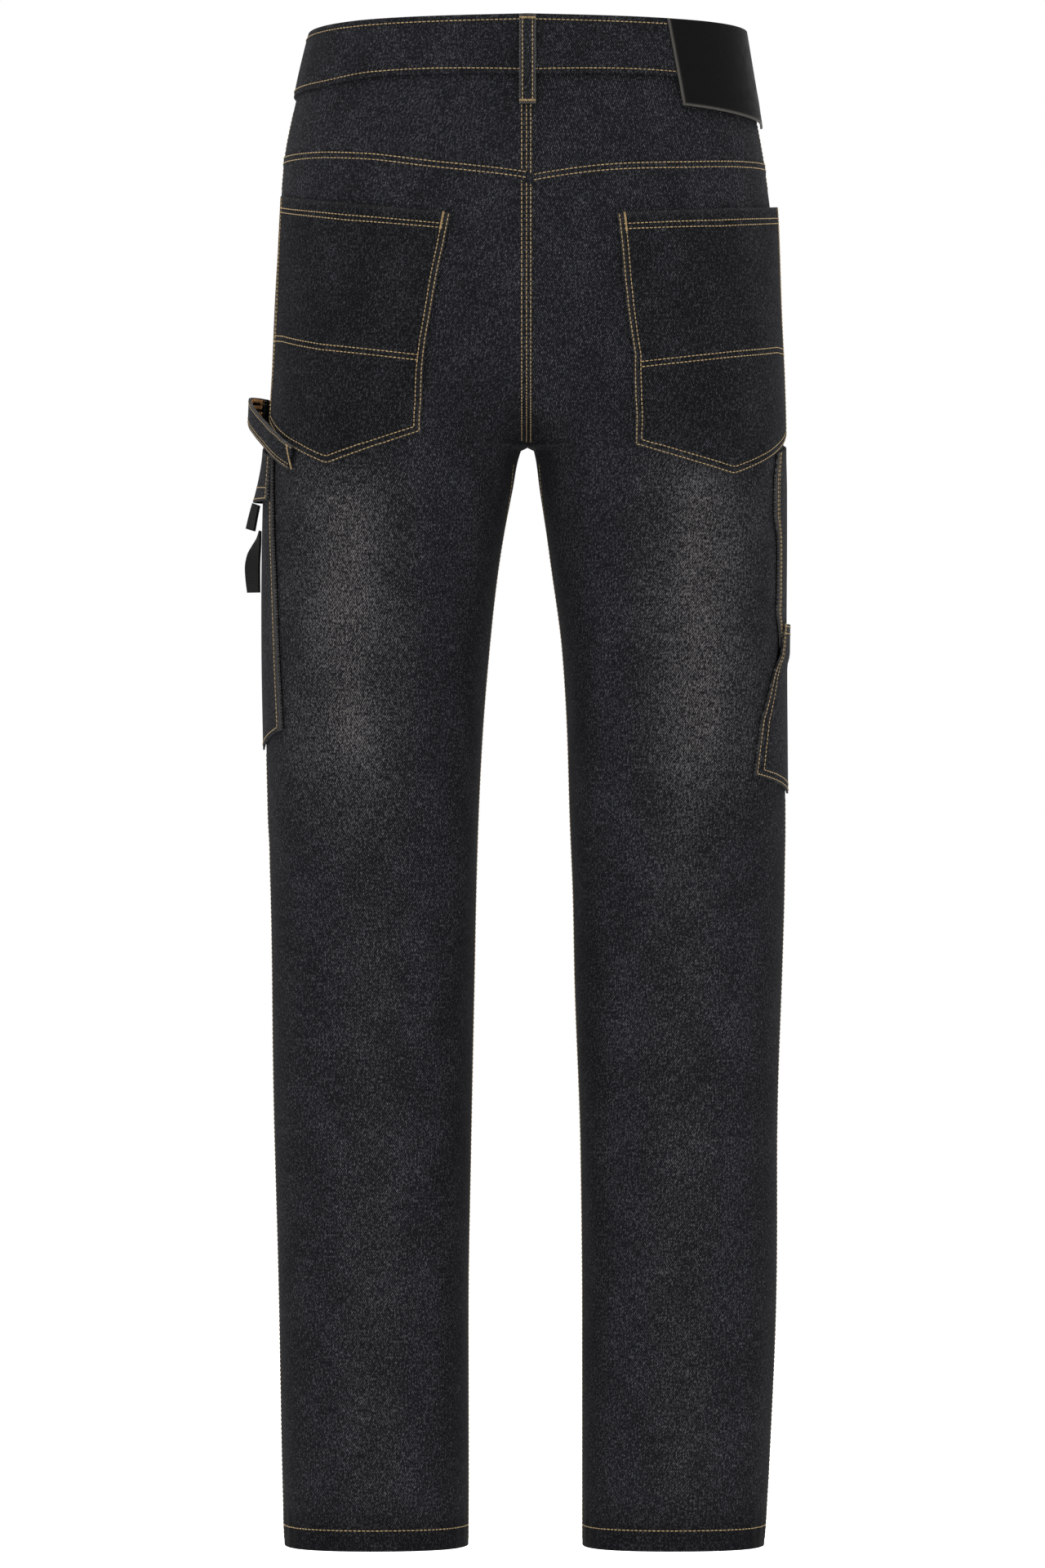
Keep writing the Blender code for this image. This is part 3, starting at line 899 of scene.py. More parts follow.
@dataclass
class Wear:
    """Where the cloth is creased and puckered, where it fades, and where shade is painted on it.

    The fades, partly a painted highlight down the calves, and the painted shades are given by how
    strong they are, from 0 to 1.
    """

    thigh_fade: float = 0.95
    front_fade: float = 0.9
    # Down the calves the fades are partly a painted highlight.
    calf_fade: float = 0.16
    # The shades below are painted shade, which darkens the colour; partly it is also darker cloth.
    seat_shade: float = 0.03
    crotch_shade: float = 0.30
    side_shade: float = 0.80
    inseam_shade: float = 0.45
    hem_shade: float = 0.60
    swell: float = 0.00055
    pucker: float = 0.00035
    pucker_pitch: float = 0.0135
    hem_depth: float = 0.0155

    def relief(self, side: Side, around: Array, height: Array) -> Array:
        """How far the cloth stands off its smooth form.

        Args:
            side: The wearer's left or right.
            around: How far round.
            height: The height.

        Returns:
            The distances.
        """
        behind = FORM.behind(side, around, height)
        total = np.zeros(behind.shape)
        for crease in CREASES[side]:
            turn = math.radians(crease.turn)
            across, up = behind - crease.behind, height - crease.height
            along = across * math.cos(turn) + up * math.sin(turn)
            off = up * math.cos(turn) - across * math.sin(turn)
            total -= crease.depth * bell(off, crease.width) * bell(along, crease.reach)
        phase = 1.3 if side is Side.LEFT else 4.1
        swell = np.sin(behind * 21 + phase) * np.sin(height * 17 + phase * 2)
        swell += 0.6 * np.sin(behind * 44 - height * 23 + phase * 3)
        total += self.swell * swell * soft_step(-height, 0.10, 0.25)
        near_hem = bell(height - (FORM.foot + self.hem_depth), 0.012)
        total += self.pucker * near_hem * np.sin(behind * 2 * math.pi / self.pucker_pitch)
        from_back = FORM.from_seam(side, around, height)
        from_front = FORM.from_seam(side, np.ones(behind.shape), height) - from_back
        return total * soft_step(from_back, 0.003, 0.030) * soft_step(from_front, 0.003, 0.030)

    def body(self, side: Side, around: Array, height: Array) -> Painted:
        """The fades (down the calves partly a painted highlight) and the painted shade of the legs
        and seat.

        Args:
            side: The wearer's left or right.
            around: How far round.
            height: The height.

        Returns:
            The numbers to paint.
        """
        behind = FORM.behind(side, around, height)
        inner = FORM.from_seam(side, around, height)
        place = FORM.surface(side, around, height)
        at_back = soft_step(-place[..., 1], -0.02, 0.02)
        across = np.abs(place[..., 0])
        thigh = soft_step(-height, 0.30, 0.36) * (1 - soft_step(-height, 0.50, 0.62))
        middle = 0.131 if side is Side.LEFT else 0.124
        fade = bell(across - middle, 0.034) * thigh * self.thigh_fade
        thigh_front = soft_step(-height, 0.16, 0.30) * (1 - soft_step(-height, 0.52, 0.66))
        fade_front = bell(across - 0.108, 0.042) * thigh_front * self.front_fade
        calf = soft_step(-height, 0.50, 0.62) * (1 - soft_step(-height, 1.06, 1.11))
        fade = fade * at_back + fade_front * (1 - at_back)
        # A lighter column down the middle of each calf: partly worn cloth, partly a painted
        # highlight where the light falls most.
        fade += bell(across - 0.112, 0.034) * calf * self.calf_fade
        # Painted shade, partly also darker cloth: the sides and the inner legs where the light
        # falls off, and the cleft at the crotch. The seat and the hem are darkened too.
        seat = soft_step(-height, 0.13, 0.17) * (1 - soft_step(-height, 0.30, 0.34))
        shade = self.seat_shade * seat
        shade += self.crotch_shade * bell(inner, 0.026) * soft_step(-height, 0.26, 0.31)
        shade += self.side_shade * bell(np.abs(behind), 0.048) * soft_step(-height, 0.34, 0.60)
        shade += self.inseam_shade * bell(inner, 0.050) * soft_step(-height, 0.50, 0.70)
        shade += self.hem_shade * soft_step(-height, 1.075, 1.105)
        return Painted(np.clip(fade, 0, 1), 0.0, np.clip(shade, 0, 1))


WEAR_AND_SHADE = Wear()


@dataclass
class Cloth:
    """A piece of cloth on one half of the jeans, given as a grid of places."""

    name: str
    side: Side
    around: Array
    height: Array
    lift: Array
    painted: Painted
    materials: Sequence[Material]
    wall: float = 0.0014
    wall_share: Array | None = None

    def place(self, node: str, held: Hold, *rests_on: str, slot: str = "denim") -> None:
        """Args:
            node: The solid that it replaces.
            held: How it is held. Not used.
            rests_on: What it is sewn to. Not used.
            slot: Its material slot. Not used.
        """
        around, height = np.broadcast_arrays(self.around, self.height)
        lift = self.lift + WEAR_AND_SHADE.relief(self.side, around, height)
        points = FORM.lifted(self.side, around, height, lift)
        behind = FORM.behind(self.side, around, height)
        place = np.stack([-self.side.value * behind, height], -1)
        i, j = points.shape[0] // 2, points.shape[1] // 2
        hint = FORM.outward(self.side, around[i, j], height[i, j])
        made = wall_of(
            self.name, points, place, hint, self.painted, self.materials, self.wall, self.wall_share
        )
        take_place(made, [node], points)


def wall_of(
    name: str,
    points: Array,
    place: Array,
    hint: Array,
    painted: Painted,
    materials: Sequence[Material],
    wall: float,
    wall_share: Array | None = None,
) -> Piece:
    """A grid laid on its points and given a wall on the inside.

    Args:
        name: The piece's name.
        points: The outer face's points, in rows and columns.
        place: The same points' coordinates on the flat cloth, in metres.
        hint: A direction that points outwards at the middle of the piece.
        painted: The numbers painted on the points.
        materials: The materials of the face and of the reverse.
        wall: The wall's thickness.
        wall_share: Where it is thinner, its share at each point.

    Returns:
        The piece.
    """
    rows, columns = points.shape[:2]
    deselect()
    bpy.ops.mesh.primitive_grid_add(
        x_subdivisions=columns - 1, y_subdivisions=rows - 1, size=1, calc_uvs=True
    )
    made = bpy.context.object
    mesh = made.data
    flat = np.empty(len(mesh.vertices) * 3)
    mesh.vertices.foreach_get("co", flat)
    flat = flat.reshape(-1, 3)
    j = np.rint((flat[:, 0] + 0.5) * (columns - 1)).astype(int)
    i = np.rint((0.5 - flat[:, 1]) * (rows - 1)).astype(int)
    mesh.vertices.foreach_set("co", points[i, j].reshape(-1))
    corners = np.empty(len(mesh.loops), int)
    mesh.loops.foreach_get("vertex_index", corners)
    layer = mesh.uv_layers[0]
    layer.name = CLOTH_UV
    layer.data.foreach_set("uv", place[i, j][corners].reshape(-1).astype(np.float32))
    for word in ("fade", "wear", "shade"):
        value = np.broadcast_to(np.asarray(getattr(painted, word), float), (rows, columns))
        painted_on = mesh.attributes.new(word, "FLOAT", "POINT")
        painted_on.data.foreach_set("value", np.ascontiguousarray(value[i, j], np.float32))
    mesh.update()
    here, there = rows // 2, columns // 2
    along = points[here, min(there + 1, columns - 1)] - points[here, there - 1]
    up = points[here - 1, there] - points[min(here + 1, rows - 1), there]
    if np.dot(np.cross(along, up), hint) < 0:
        mesh.flip_normals()
    thicken = made.modifiers.new("wall", "SOLIDIFY")
    thicken.thickness = wall
    thicken.offset = -1
    thicken.material_offset = len(materials) - 1
    if wall_share is not None:
        group = made.vertex_groups.new(name="wall")
        share = np.broadcast_to(wall_share, (rows, columns))[i, j]
        for level in np.unique(share):
            group.add(np.flatnonzero(share == level).tolist(), float(level), "REPLACE")
        thicken.vertex_group = "wall"
    bpy.ops.object.modifier_apply(modifier=thicken.name)
    return settle(name, *materials)


def measured(points: Array) -> tuple[float, float, float]:
    """The width, length and area of a piece laid flat, from its face's points.

    Args:
        points: The face's points, in rows and columns.

    Returns:
        The width and the length in metres, and the area in square metres.
    """
    across = np.linalg.norm(np.diff(points, axis=1), axis=2).sum(1).max()
    along = np.linalg.norm(np.diff(points, axis=0), axis=2).sum(0).max()
    one = points[1:, 1:] - points[:-1, :-1]
    two = points[1:, :-1] - points[:-1, 1:]
    area = 0.5 * np.linalg.norm(np.cross(one, two), axis=2).sum()
    return float(across), float(along), float(area)


def take_place(
    piece: Piece,
    nodes: Sequence[str],
    points: Array | None = None,
) -> None:
    """Attaches a piece to its body, hides the solids that it replaces and logs its cut where it is
    a sheet.

    Args:
        piece: The piece.
        nodes: The solids that it replaces.
        points: Its face's points, where it is a sheet.
    """
    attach(piece, BODY)
    if nodes:
        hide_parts(*nodes)
    if points is None:
        return
    across, along, area = measured(points)
    area = min(area, across * along)
    LOG.info("%s: %.0f x %.0f mm, %.4f m2", piece.name, 1000 * across, 1000 * along, area)


# The pieces


@dataclass
class Layers:
    """How far each layer stands off the panels, as in the solids."""

    cloth: float = 0.0014
    on_panel: float = 0.0008
    on_band: float = 0.0032
    on_pocket: float = 0.0027
    under_panel: float = 0.0010
    band_wall: float = 0.0018
    webbing: float = 0.0018
    fell: float = 0.0007
    lap: float = 0.0021
    hammer: float = 0.00196
    seam_edge: float = 0.00002


LAYERS = Layers()
LOOP_TOP = 0.0008
LOOP_PLACES = (("side", -0.045), ("front", -0.135))


@dataclass
class Panels:
    """The four legs and the two yokes."""

    wardrobe: Wardrobe
    pitch: float = 0.0046
    fell_width: float = 0.0085
    yoke_ridge: float = 0.0006
    yoke_ridge_width: float = 0.0080
    pocket_width: float = 0.20
    pocket_depth: float = 0.072
    band_lap: float = 0.010
    crotch_rows: tuple[float, ...] = (
        -0.2980, -0.3015, -0.3045, -0.3068, -0.3088, -0.3112, -0.3135, -0.3170, -0.3210,
    )

    def heights(self, top: Array, extra: Sequence[float] = ()) -> Array:
        """The rows of a leg under a top edge, closest together at the crotch and hem.

        Args:
            top: The height of the top edge, at each column.
            extra: More rows close under that edge, as drops.

        Returns:
            The height of each row at each column.
        """
        first = float(top[0])
        upper = np.arange(first - 0.012, -0.2950, -self.pitch)
        lower = np.arange(-0.3255, FORM.foot + 0.021, -self.pitch)
        hem = FORM.foot + np.array([0.0185, 0.0168, 0.0155, 0.0140, 0.0105, 0.0070, 0.0035, 0.0])
        close = first - np.array([0.0, *extra])
        rows = np.concatenate([close, upper, self.crotch_rows, lower, hem])
        share = np.clip((rows + 0.285) / (first + 0.285), 0, 1)
        return rows[:, None] + share[:, None] * (top[None, :] - first)

    def wall_share(self, heights: Array) -> Array:
        """The wall is doubled in the hem."""
        return np.where(heights < FORM.foot + 0.0160, 1.0, 0.5)

    def back(self, side: Side) -> None:
        """A back leg, with its felled seams raised.

        Args:
            side: The wearer's left or right.
        """
        edge = LAYERS.seam_edge
        inner = np.array([edge, 0.008, 0.014, 0.0165, 0.020, 0.0245])
        around = np.concatenate([inner, np.linspace(0.032, 0.5 - edge, 66)])
        seam = FORM.edge("yoke_" + side.word, around) - 0.00002
        heights = self.heights(seam, (0.0015, 0.0055, 0.0075, 0.0086))
        places = np.broadcast_to(around, heights.shape)
        lift = self.seam_lift(side, places, heights)
        drop = seam[None, :] - heights
        fallen = soft_step(drop, self.yoke_ridge_width - 0.0006, self.yoke_ridge_width + 0.0008)
        lift = lift + self.yoke_ridge * (1 - fallen)
        painted = WEAR_AND_SHADE.body(side, places, heights)
        name = f"cloth_back_{side.word}"
        Cloth(
            name, side, places, heights, lift, painted, self.wardrobe.cloth, 2 * LAYERS.cloth,
            self.wall_share(heights),
        ).place(f"back_{side.word}", Hold.HUNG, f"yoke_{side.word}")

    def seam_lift(self, side: Side, around: Array, heights: Array) -> Array:
        """The felled seam of the centre back, which is turned to the wearer's right.

        Args:
            side: The wearer's left or right.
            around: How far round.
            heights: The rows' heights.

        Returns:
            How far it stands off the panel.
        """
        if side is Side.LEFT:
            return np.zeros(heights.shape)
        away = FORM.from_seam(side, around, heights)
        raised = 1 - soft_step(away, self.fell_width * 0.45, self.fell_width * 0.62)
        return LAYERS.fell * raised * soft_step(heights, FORM.crotch + 0.012, FORM.crotch + 0.03)

    def front(self, side: Side) -> None:
        """A front leg, with its pocket mouth scooped out.

        Args:
            side: The wearer's left or right.
        """
        share = np.linspace(0, 1, 70)
        top = FORM.edge("band_foot", 0.5 + share / 2) + self.band_lap
        foot = float(FORM.edge("band_foot", 0.5)) - self.pocket_depth
        turn = np.linspace(math.pi / 2, 0, 30)[:, None]
        mouth = foot + (top - foot) * (1 - np.cos(turn))
        below = self.heights(np.full(top.shape, foot))
        heights = np.concatenate([mouth, below[1:]])
        scooped = np.zeros((len(heights), 1))
        scooped[: len(turn)] = self.pocket_width * np.sin(turn)
        first = 0.5 + LAYERS.seam_edge + scooped
        around = first + (1 - LAYERS.seam_edge - first) * share
        painted = WEAR_AND_SHADE.body(side, around, heights)
        name = f"cloth_front_{side.word}"
        Cloth(
            name, side, around, heights, np.zeros(heights.shape), painted, self.wardrobe.cloth,
            2 * LAYERS.cloth, self.wall_share(heights),
        ).place(f"front_{side.word}", Hold.HUNG, "waistband")

    def yoke(self, side: Side) -> None:
        """The seat yoke.

        Args:
            side: The wearer's left or right.
        """
        edge = LAYERS.seam_edge
        inner = np.array([edge, 0.008, 0.014, 0.0165, 0.020, 0.0245])
        around = np.concatenate([inner, np.linspace(0.032, 0.5 - edge, 60)])
        top = FORM.edge("band_foot", around) + self.band_lap
        foot = FORM.edge("yoke_" + side.word, around)
        heights = top + np.linspace(0, 1, 18)[:, None] * (foot - top)
        places = np.broadcast_to(around, heights.shape)
        painted = WEAR_AND_SHADE.body(side, places, heights)
        Cloth(
            f"cloth_yoke_{side.word}", side, places, heights, self.seam_lift(side, places, heights),
            painted, self.wardrobe.cloth,
        ).place(f"yoke_{side.word}", Hold.STRETCHED, "waistband")

    def facing(self, side: Side) -> None:
        """The cloth in a front pocket's mouth.

        Args:
            side: The wearer's left or right.
        """
        around = np.linspace(0.5 + LAYERS.seam_edge, 0.5 + self.pocket_width + 0.045, 40)
        top = FORM.edge("band_foot", around) + self.band_lap
        foot = float(FORM.edge("band_foot", 0.5)) - self.pocket_depth - 0.020
        heights = top + np.linspace(0, 1, 24)[:, None] * (foot - top)
        places = np.broadcast_to(around, heights.shape)
        lift = np.full(heights.shape, -(LAYERS.cloth + LAYERS.under_panel))
        # Painted shade inside the pocket's mouth.
        Cloth(
            f"cloth_pocket_facing_{side.word}", side, places, heights, lift, Painted(shade=0.35),
            self.wardrobe.cloth,
        ).place(f"front_pocket_facing_{side.word}", Hold.STRETCHED, "waistband")

    def build(self) -> None:
        """Builds both sides."""
        for side in Side:
            self.back(side)
            self.front(side)
            self.yoke(side)
            self.facing(side)


def near_centre(across: Array, height: Array, off: Array, at_front: bool) -> Array:
    """Points near the centre back or front, given by x.

    Args:
        across: The wanted x.
        height: The height.
        off: How far they stand off the outer surface.
        at_front: At the centre front, not the back.

    Returns:
        The points.
    """
    across, height, off = np.broadcast_arrays(across, height, off)
    points = np.empty((*across.shape, 3))
    for side in Side:
        here = np.broadcast_to((across > 0) == (side is Side.RIGHT), across.shape)
        wanted = np.maximum(np.abs(across), 0.0003)
        low, high = np.full(across.shape, 0.0), np.full(across.shape, 0.25)
        for _ in range(22):
            half = (low + high) / 2
            around = 1 - half if at_front else half
            reached = np.abs(FORM.surface(side, around, height)[..., 0])
            short = reached < wanted
            low, high = np.where(short, half, low), np.where(short, high, half)
        around = 1 - half if at_front else half
        lift = off + WEAR_AND_SHADE.relief(side, around, height)
        points[here] = FORM.lifted(side, around, height, lift)[here]
    points[..., 0] = across
    return points


@dataclass
class Waistband:
    """The band, the fly's shield, the belt loops and the button."""

    wardrobe: Wardrobe
    loop_width: float = 0.012
    loop_drop: float = 0.066
    fly_length: float = 0.150
    fly_width: float = 0.036

    def band(self) -> None:
        """The band, whose left end laps over its right end at the front."""
        quarter = np.concatenate([np.linspace(1.0, 0.010, 110), [0.004]])
        lap = np.linspace(0.992, 0.955, 8)
        spread: list[Array] = []
        flat: list[Array] = []
        passed = 0.0
        for side, places in (
            (Side.RIGHT, quarter), (Side.LEFT, quarter[::-1]), (Side.RIGHT, lap)
        ):
            for around in places:
                lapped = side is Side.LEFT or (places is lap)
                rise = float(soft_step(around, 0.90, 0.97)) if lapped else 0.0
                rise = 1.0 if places is lap else rise
                heights = np.linspace(
                    float(FORM.edge("waist", around)), float(FORM.edge("band_foot", around)), 12
                )
                bulge = 0.0004 * np.sin(np.linspace(0, math.pi, 12)) ** 0.5
                off = LAYERS.on_panel + LAYERS.lap * rise + LAYERS.band_wall + bulge - 0.0004
                relief = WEAR_AND_SHADE.relief(side, around, heights)
                spread.append(FORM.lifted(side, around, heights, off + relief))
                if len(spread) > 1:
                    passed += float(np.linalg.norm(spread[-1][6] - spread[-2][6]))
                flat.append(np.stack([np.full(12, -passed), heights], -1))
        points = np.stack(spread, 1)
        place = np.stack(flat, 1)
        middle = points.shape[1] // 4
        hint = points[6, middle] * (1, 1, 0)
        piece = wall_of(
            "cloth_waistband", points, place, hint, Painted(shade=0.12),
            self.wardrobe.cloth, LAYERS.band_wall,
        )
        take_place(
            piece, ["waistband"], points,
        )

    def shield(self) -> None:
        """The strip behind the fly's opening."""
        across = np.linspace(-0.006, self.fly_width - 0.006, 12)
        top = float(FORM.edge("band_foot", 1.0)) + Panels.band_lap
        heights = np.linspace(top, top - self.fly_length, 36)[:, None]
        off = np.full((36, 12), -(LAYERS.cloth + LAYERS.under_panel + 0.0003))
        points = near_centre(across[None, :], heights, off, True)
        place = np.stack(np.broadcast_arrays(-across[None, :], heights), -1)
        # Painted shade behind the fly's opening.
        piece = wall_of(
            "cloth_fly_shield", points, place, np.array([0, 1, 0]), Painted(shade=0.3),
            self.wardrobe.cloth, LAYERS.cloth,
        )
        take_place(piece, ["fly_shield"], points)

    def offsets(self, share: Array) -> Array:
        """How far a belt loop stands off the panels on its way down.

        Args:
            share: How far down the loop, from 0 to 1.

        Returns:
            The distances.
        """
        places = np.array([0.0, 0.10, 0.35, 0.62, 0.80, 1.0])
        band, panel = LAYERS.on_band, LAYERS.on_panel + 0.0002
        offs = np.array([band, band, 0.0040, 0.0036, 0.0020, panel])
        return eased(places, offs, share)

    def loop(self, name: str, points: Array, across: Array, share: Array, hint: Array) -> None:
        """Builds a belt loop from its face's points.

        Args:
            name: The solid's name.
            points: The points, in rows down the loop.
            across: The columns' places across it.
            share: The rows' shares of its length.
            hint: A direction that points outwards.
        """
        place = np.stack(np.broadcast_arrays(across, -share * self.loop_drop), -1)
        rubbed = bell(np.abs(across) - self.loop_width / 2, 0.0010) * 0.45
        ends = bell(share, 0.018) + bell(share - 1, 0.018)
        wear = np.clip(rubbed + 0.5 * ends, 0, 1)
        piece = wall_of(
            "cloth_" + name, points, place, hint, Painted(wear=wear, shade=0.05),
            self.wardrobe.cloth, LAYERS.webbing,
        )
        take_place(piece, [name], points)

    def loops(self) -> None:
        """The loop over the centre back, two at the sides and two at the front."""
        share = np.linspace(0, 1, 34)[:, None]
        spread = np.array([-0.5, -0.42, -0.30, -0.12, 0.12, 0.30, 0.42, 0.5])
        across = spread[None, :] * self.loop_width
        crown = 0.0003 * (1 - (2 * spread) ** 6)[None, :] - 0.0003
        heights = float(FORM.edge("waist", 0.0)) - LOOP_TOP - self.loop_drop * share
        off = self.offsets(share) + LAYERS.fell * np.clip((share - 0.7) / 0.1, 0, 1)
        points = near_centre(across, heights, off + LAYERS.webbing + crown, False)
        self.loop("belt_loop_centre_back", points, across, share, np.array([0, -1, 0]))
        for side in Side:
            for word, behind in LOOP_PLACES:
                around = FORM.round_at(side, behind, -0.02)
                heights = float(FORM.edge("waist", around)) - LOOP_TOP - self.loop_drop * share
                places = FORM.round_at(side, behind + across, heights)
                level = np.broadcast_to(heights, places.shape)
                lift = self.offsets(share) + LAYERS.webbing + crown
                lift = lift + WEAR_AND_SHADE.relief(side, places, level)
                points = FORM.lifted(side, places, level, lift)
                hint = FORM.outward(side, places[17, 4], level[17, 4])
                self.loop(f"belt_loop_{word}_{side.word}", points, across, share, hint)

    def button(self) -> None:
        """The metal button, with a rolled rim and a shallow dished face."""
        middle = float(FORM.edge("waist", 1.0) + FORM.edge("band_foot", 1.0)) / 2
        centre = near_centre(np.array(0.004), np.array(middle), np.array(0.0), True)
        foot = LAYERS.on_panel + 2 * (LAYERS.band_wall + 0.0003) + 0.0014
        deselect()
        bpy.ops.mesh.primitive_cylinder_add(
            vertices=48, radius=0.0085, depth=0.0030,
            location=(centre[0], centre[1] + foot + 0.0015, middle),
            rotation=(math.radians(90), 0, 0),
        )
        made = bpy.context.object
        bpy.ops.object.transform_apply(location=True, rotation=True, scale=True)
        bpy.ops.object.mode_set(mode="EDIT")
        bpy.ops.mesh.select_all(action="SELECT")
        bpy.ops.mesh.bevel(offset=0.0011, segments=4, affect="EDGES")
        bpy.ops.mesh.select_all(action="DESELECT")
        bpy.ops.object.mode_set(mode="OBJECT")
        face = max(made.data.polygons, key=lambda each: each.center.y + each.area)
        face.select = True
        bpy.ops.object.mode_set(mode="EDIT")
        for inset, sink in ((0.0009, -0.0005), (0.0022, 0.0003), (0.0016, 0.0)):
            bpy.ops.mesh.inset(thickness=inset)
            bpy.ops.transform.translate(value=(0, sink, 0))
        bpy.ops.object.mode_set(mode="OBJECT")
        piece = settle("metal_waist_button", self.wardrobe.brass, smooth=35)
        take_place(piece, ["waist_button"])

    def build(self) -> None:
        """Builds the band and what it carries."""
        self.band()
        self.shield()
        self.loops()
        self.button()


class Patch(NamedTuple):
    """A pocket or flap: its corners as distances behind the side line and heights.

    Its edge says how far the back edge bulges, as pairs of shares down and distances.
    """

    name: str
    side: Side
    inner_top: Pair
    outer_top: Pair
    inner_foot: Pair
    tip: Pair
    outer_foot: Pair
    mouth: float
    foot: float
    edge: tuple[Pair, ...]
    off: float
    shade: float


STRAIGHT = ((0.0, 0.0), (1.0, 0.0))

PATCHES = (
    Patch(
        "back_pocket_left", Side.LEFT, (0.1973, -0.1451), (0.0290, -0.1264), (0.1843, -0.3019),
        (0.1182, -0.3249), (0.0394, -0.2909), 0.0006, 0.0,
        ((0.0, 0.0020), (0.15, 0.0016), (0.29, 0.0002), (0.57, -0.0016), (0.64, -0.0008),
         (0.71, 0.0007), (0.78, 0.0031), (0.85, 0.0053), (1.0, 0.0060)), 0.0008, 0.45,
    ),
    Patch(
        "back_pocket_right", Side.RIGHT, (0.1868, -0.1451), (0.0120, -0.1339), (0.1875, -0.3109),
        (0.1110, -0.3321), (0.0170, -0.3010), 0.0040, 0.0,
        ((0.0, 0.0008), (0.27, 0.0002), (0.40, -0.0012), (0.54, -0.0030), (0.61, -0.0035),
         (0.67, -0.0017), (0.74, 0.0), (0.80, 0.0009), (0.93, 0.0), (1.0, -0.0020)), 0.0008, 0.34,
    ),
    Patch(
        "cargo_pocket", Side.LEFT, (0.0570, -0.3180), (-0.0520, -0.3120), (0.0630, -0.5158),
        (0.0040, -0.5305), (-0.0560, -0.5158), 0.0, 0.0003,
        STRAIGHT, 0.0008, 0.20,
    ),
    Patch(
        "cargo_flap", Side.LEFT, (0.0540, -0.3168), (-0.0500, -0.3040), (0.0535, -0.3487),
        (0.0020, -0.3492), (-0.0500, -0.3487), 0.0, 0.0056,
        STRAIGHT, 0.0027, 0.05,
    ),
    Patch(
        "ruler_pocket", Side.RIGHT, (0.0535, -0.3145), (-0.0560, -0.3030), (0.0500, -0.4560),
        (0.0020, -0.4560), (-0.0560, -0.4560), 0.0, 0.0,
        ((0.0, 0.0), (0.13, 0.0070), (0.32, 0.0065), (0.42, -0.0009), (0.52, -0.0022),
         (0.74, -0.0020), (0.82, 0.0010), (0.90, -0.0060), (1.0, -0.0080)), 0.0008, 0.15,
    ),
    Patch(
        "tool_pocket", Side.RIGHT, (0.0377, -0.4386), (-0.0400, -0.4386), (0.0764, -0.5489),
        (0.0100, -0.5625), (-0.0600, -0.5489), 0.0008, 0.0,
        ((0.0, 0.0), (0.24, 0.0012), (0.345, 0.0074), (0.63, 0.0098), (0.77, 0.0063),
         (0.95, 0.0010), (1.0, 0.0)), 0.0008, 0.20,
    ),
)


@dataclass
class PatchPocket:
    """A pocket or flap of one cloth, on the leg."""

    patch: Patch
    wardrobe: Wardrobe
    pitch: float = 0.0042

    def grid(self, share: Array, down: Array) -> Arrays:
        """Distances behind the side line and heights, from the pocket's own shares.

        Args:
            share: 0 at its inner edge, 1 at its outer edge.
            down: 0 at its mouth, 1 at its foot.

        Returns:
            The distances and the heights.
        """
        patch = self.patch
        whole = patch.inner_foot[0] - patch.outer_foot[0]
        tip = (patch.inner_foot[0] - patch.tip[0]) / whole
        top = [a + (b - a) * share for a, b in zip(patch.inner_top, patch.outer_top)]
        foot_behind = patch.inner_foot[0] - whole * share
        corners = (patch.inner_foot[1], patch.tip[1], patch.outer_foot[1])
        foot_height = np.interp(share, (0, tip, 1), corners)
        behind = top[0] + (foot_behind - top[0]) * down
        height = top[1] + (foot_height - top[1]) * down
        places, bulges = (np.array(each) for each in zip(*patch.edge))
        return behind + np.interp(down, places, bulges) * (1 - share) ** 3, height

    def lift(self, behind: Array, height: Array, down: Array) -> Array:
        """How far the face stands off the leg.

        Args:
            behind: The distance behind the side line.
            height: The height.
            down: 0 at its top, 1 at its foot.

        Returns:
            The distances.
        """
        patch = self.patch
        stand_off = patch.mouth * (1 - down) ** 2 + patch.foot * down**2
        off = np.full(behind.shape, patch.off)
        if patch.name == "tool_pocket":
            over = soft_step(height, -0.470, -0.460)
            off = off + (LAYERS.on_pocket - LAYERS.on_panel) * over
        if patch.name == "cargo_pocket":
            off = off + 0.0006 * bell(behind - patch.inner_top[0], 0.006)
        return off + stand_off * bell(behind, 0.045) + LAYERS.cloth

    def columns(self) -> Array:
        """The columns' shares, with one at the tip.

        Returns:
            The shares, from 0 to 1.
        """
        patch = self.patch
        whole = patch.inner_foot[0] - patch.outer_foot[0]
        tip = (patch.inner_foot[0] - patch.tip[0]) / whole
        inner = max(4, round(tip * whole / self.pitch))
        outer = max(4, round((1 - tip) * whole / self.pitch))
        return np.concatenate([np.linspace(0, tip, inner + 1), np.linspace(tip, 1, outer + 1)[1:]])

    def build(self) -> None:
        """Builds the pocket, its edges worn paler."""
        patch = self.patch
        share = self.columns()[None, :]
        rows = round((patch.inner_top[1] - patch.tip[1]) / self.pitch)
        down = np.linspace(0, 1, rows + 1)[:, None]
        share, down = np.broadcast_arrays(share, down)
        behind, height = self.grid(share, down)
        around = FORM.round_at(patch.side, behind, height)
        edge = bell(down, 0.012) * 0.10 + bell(share, 0.014) * 0.18 + bell(1 - down, 0.012) * 0.1
        rubbed = np.clip(edge, 0, 0.3)
        painted = Painted(0.0, rubbed, patch.shade)
        if patch.name in ("cargo_pocket", "ruler_pocket"):
            painted = Painted(0.0, bell(share, 0.05) * 0.28, patch.shade)
        on = "cargo_pocket" if patch.name == "cargo_flap" else "back_" + patch.side.word
        Cloth(
            "cloth_" + patch.name, patch.side, around, height, self.lift(behind, height, down),
            painted, self.wardrobe.cloth,
        ).place(patch.name, Hold.STRETCHED, on)


class Strap(NamedTuple):
    """One place along a strap."""

    behind: float
    height: float
    off: float
    lean: float = 0.0


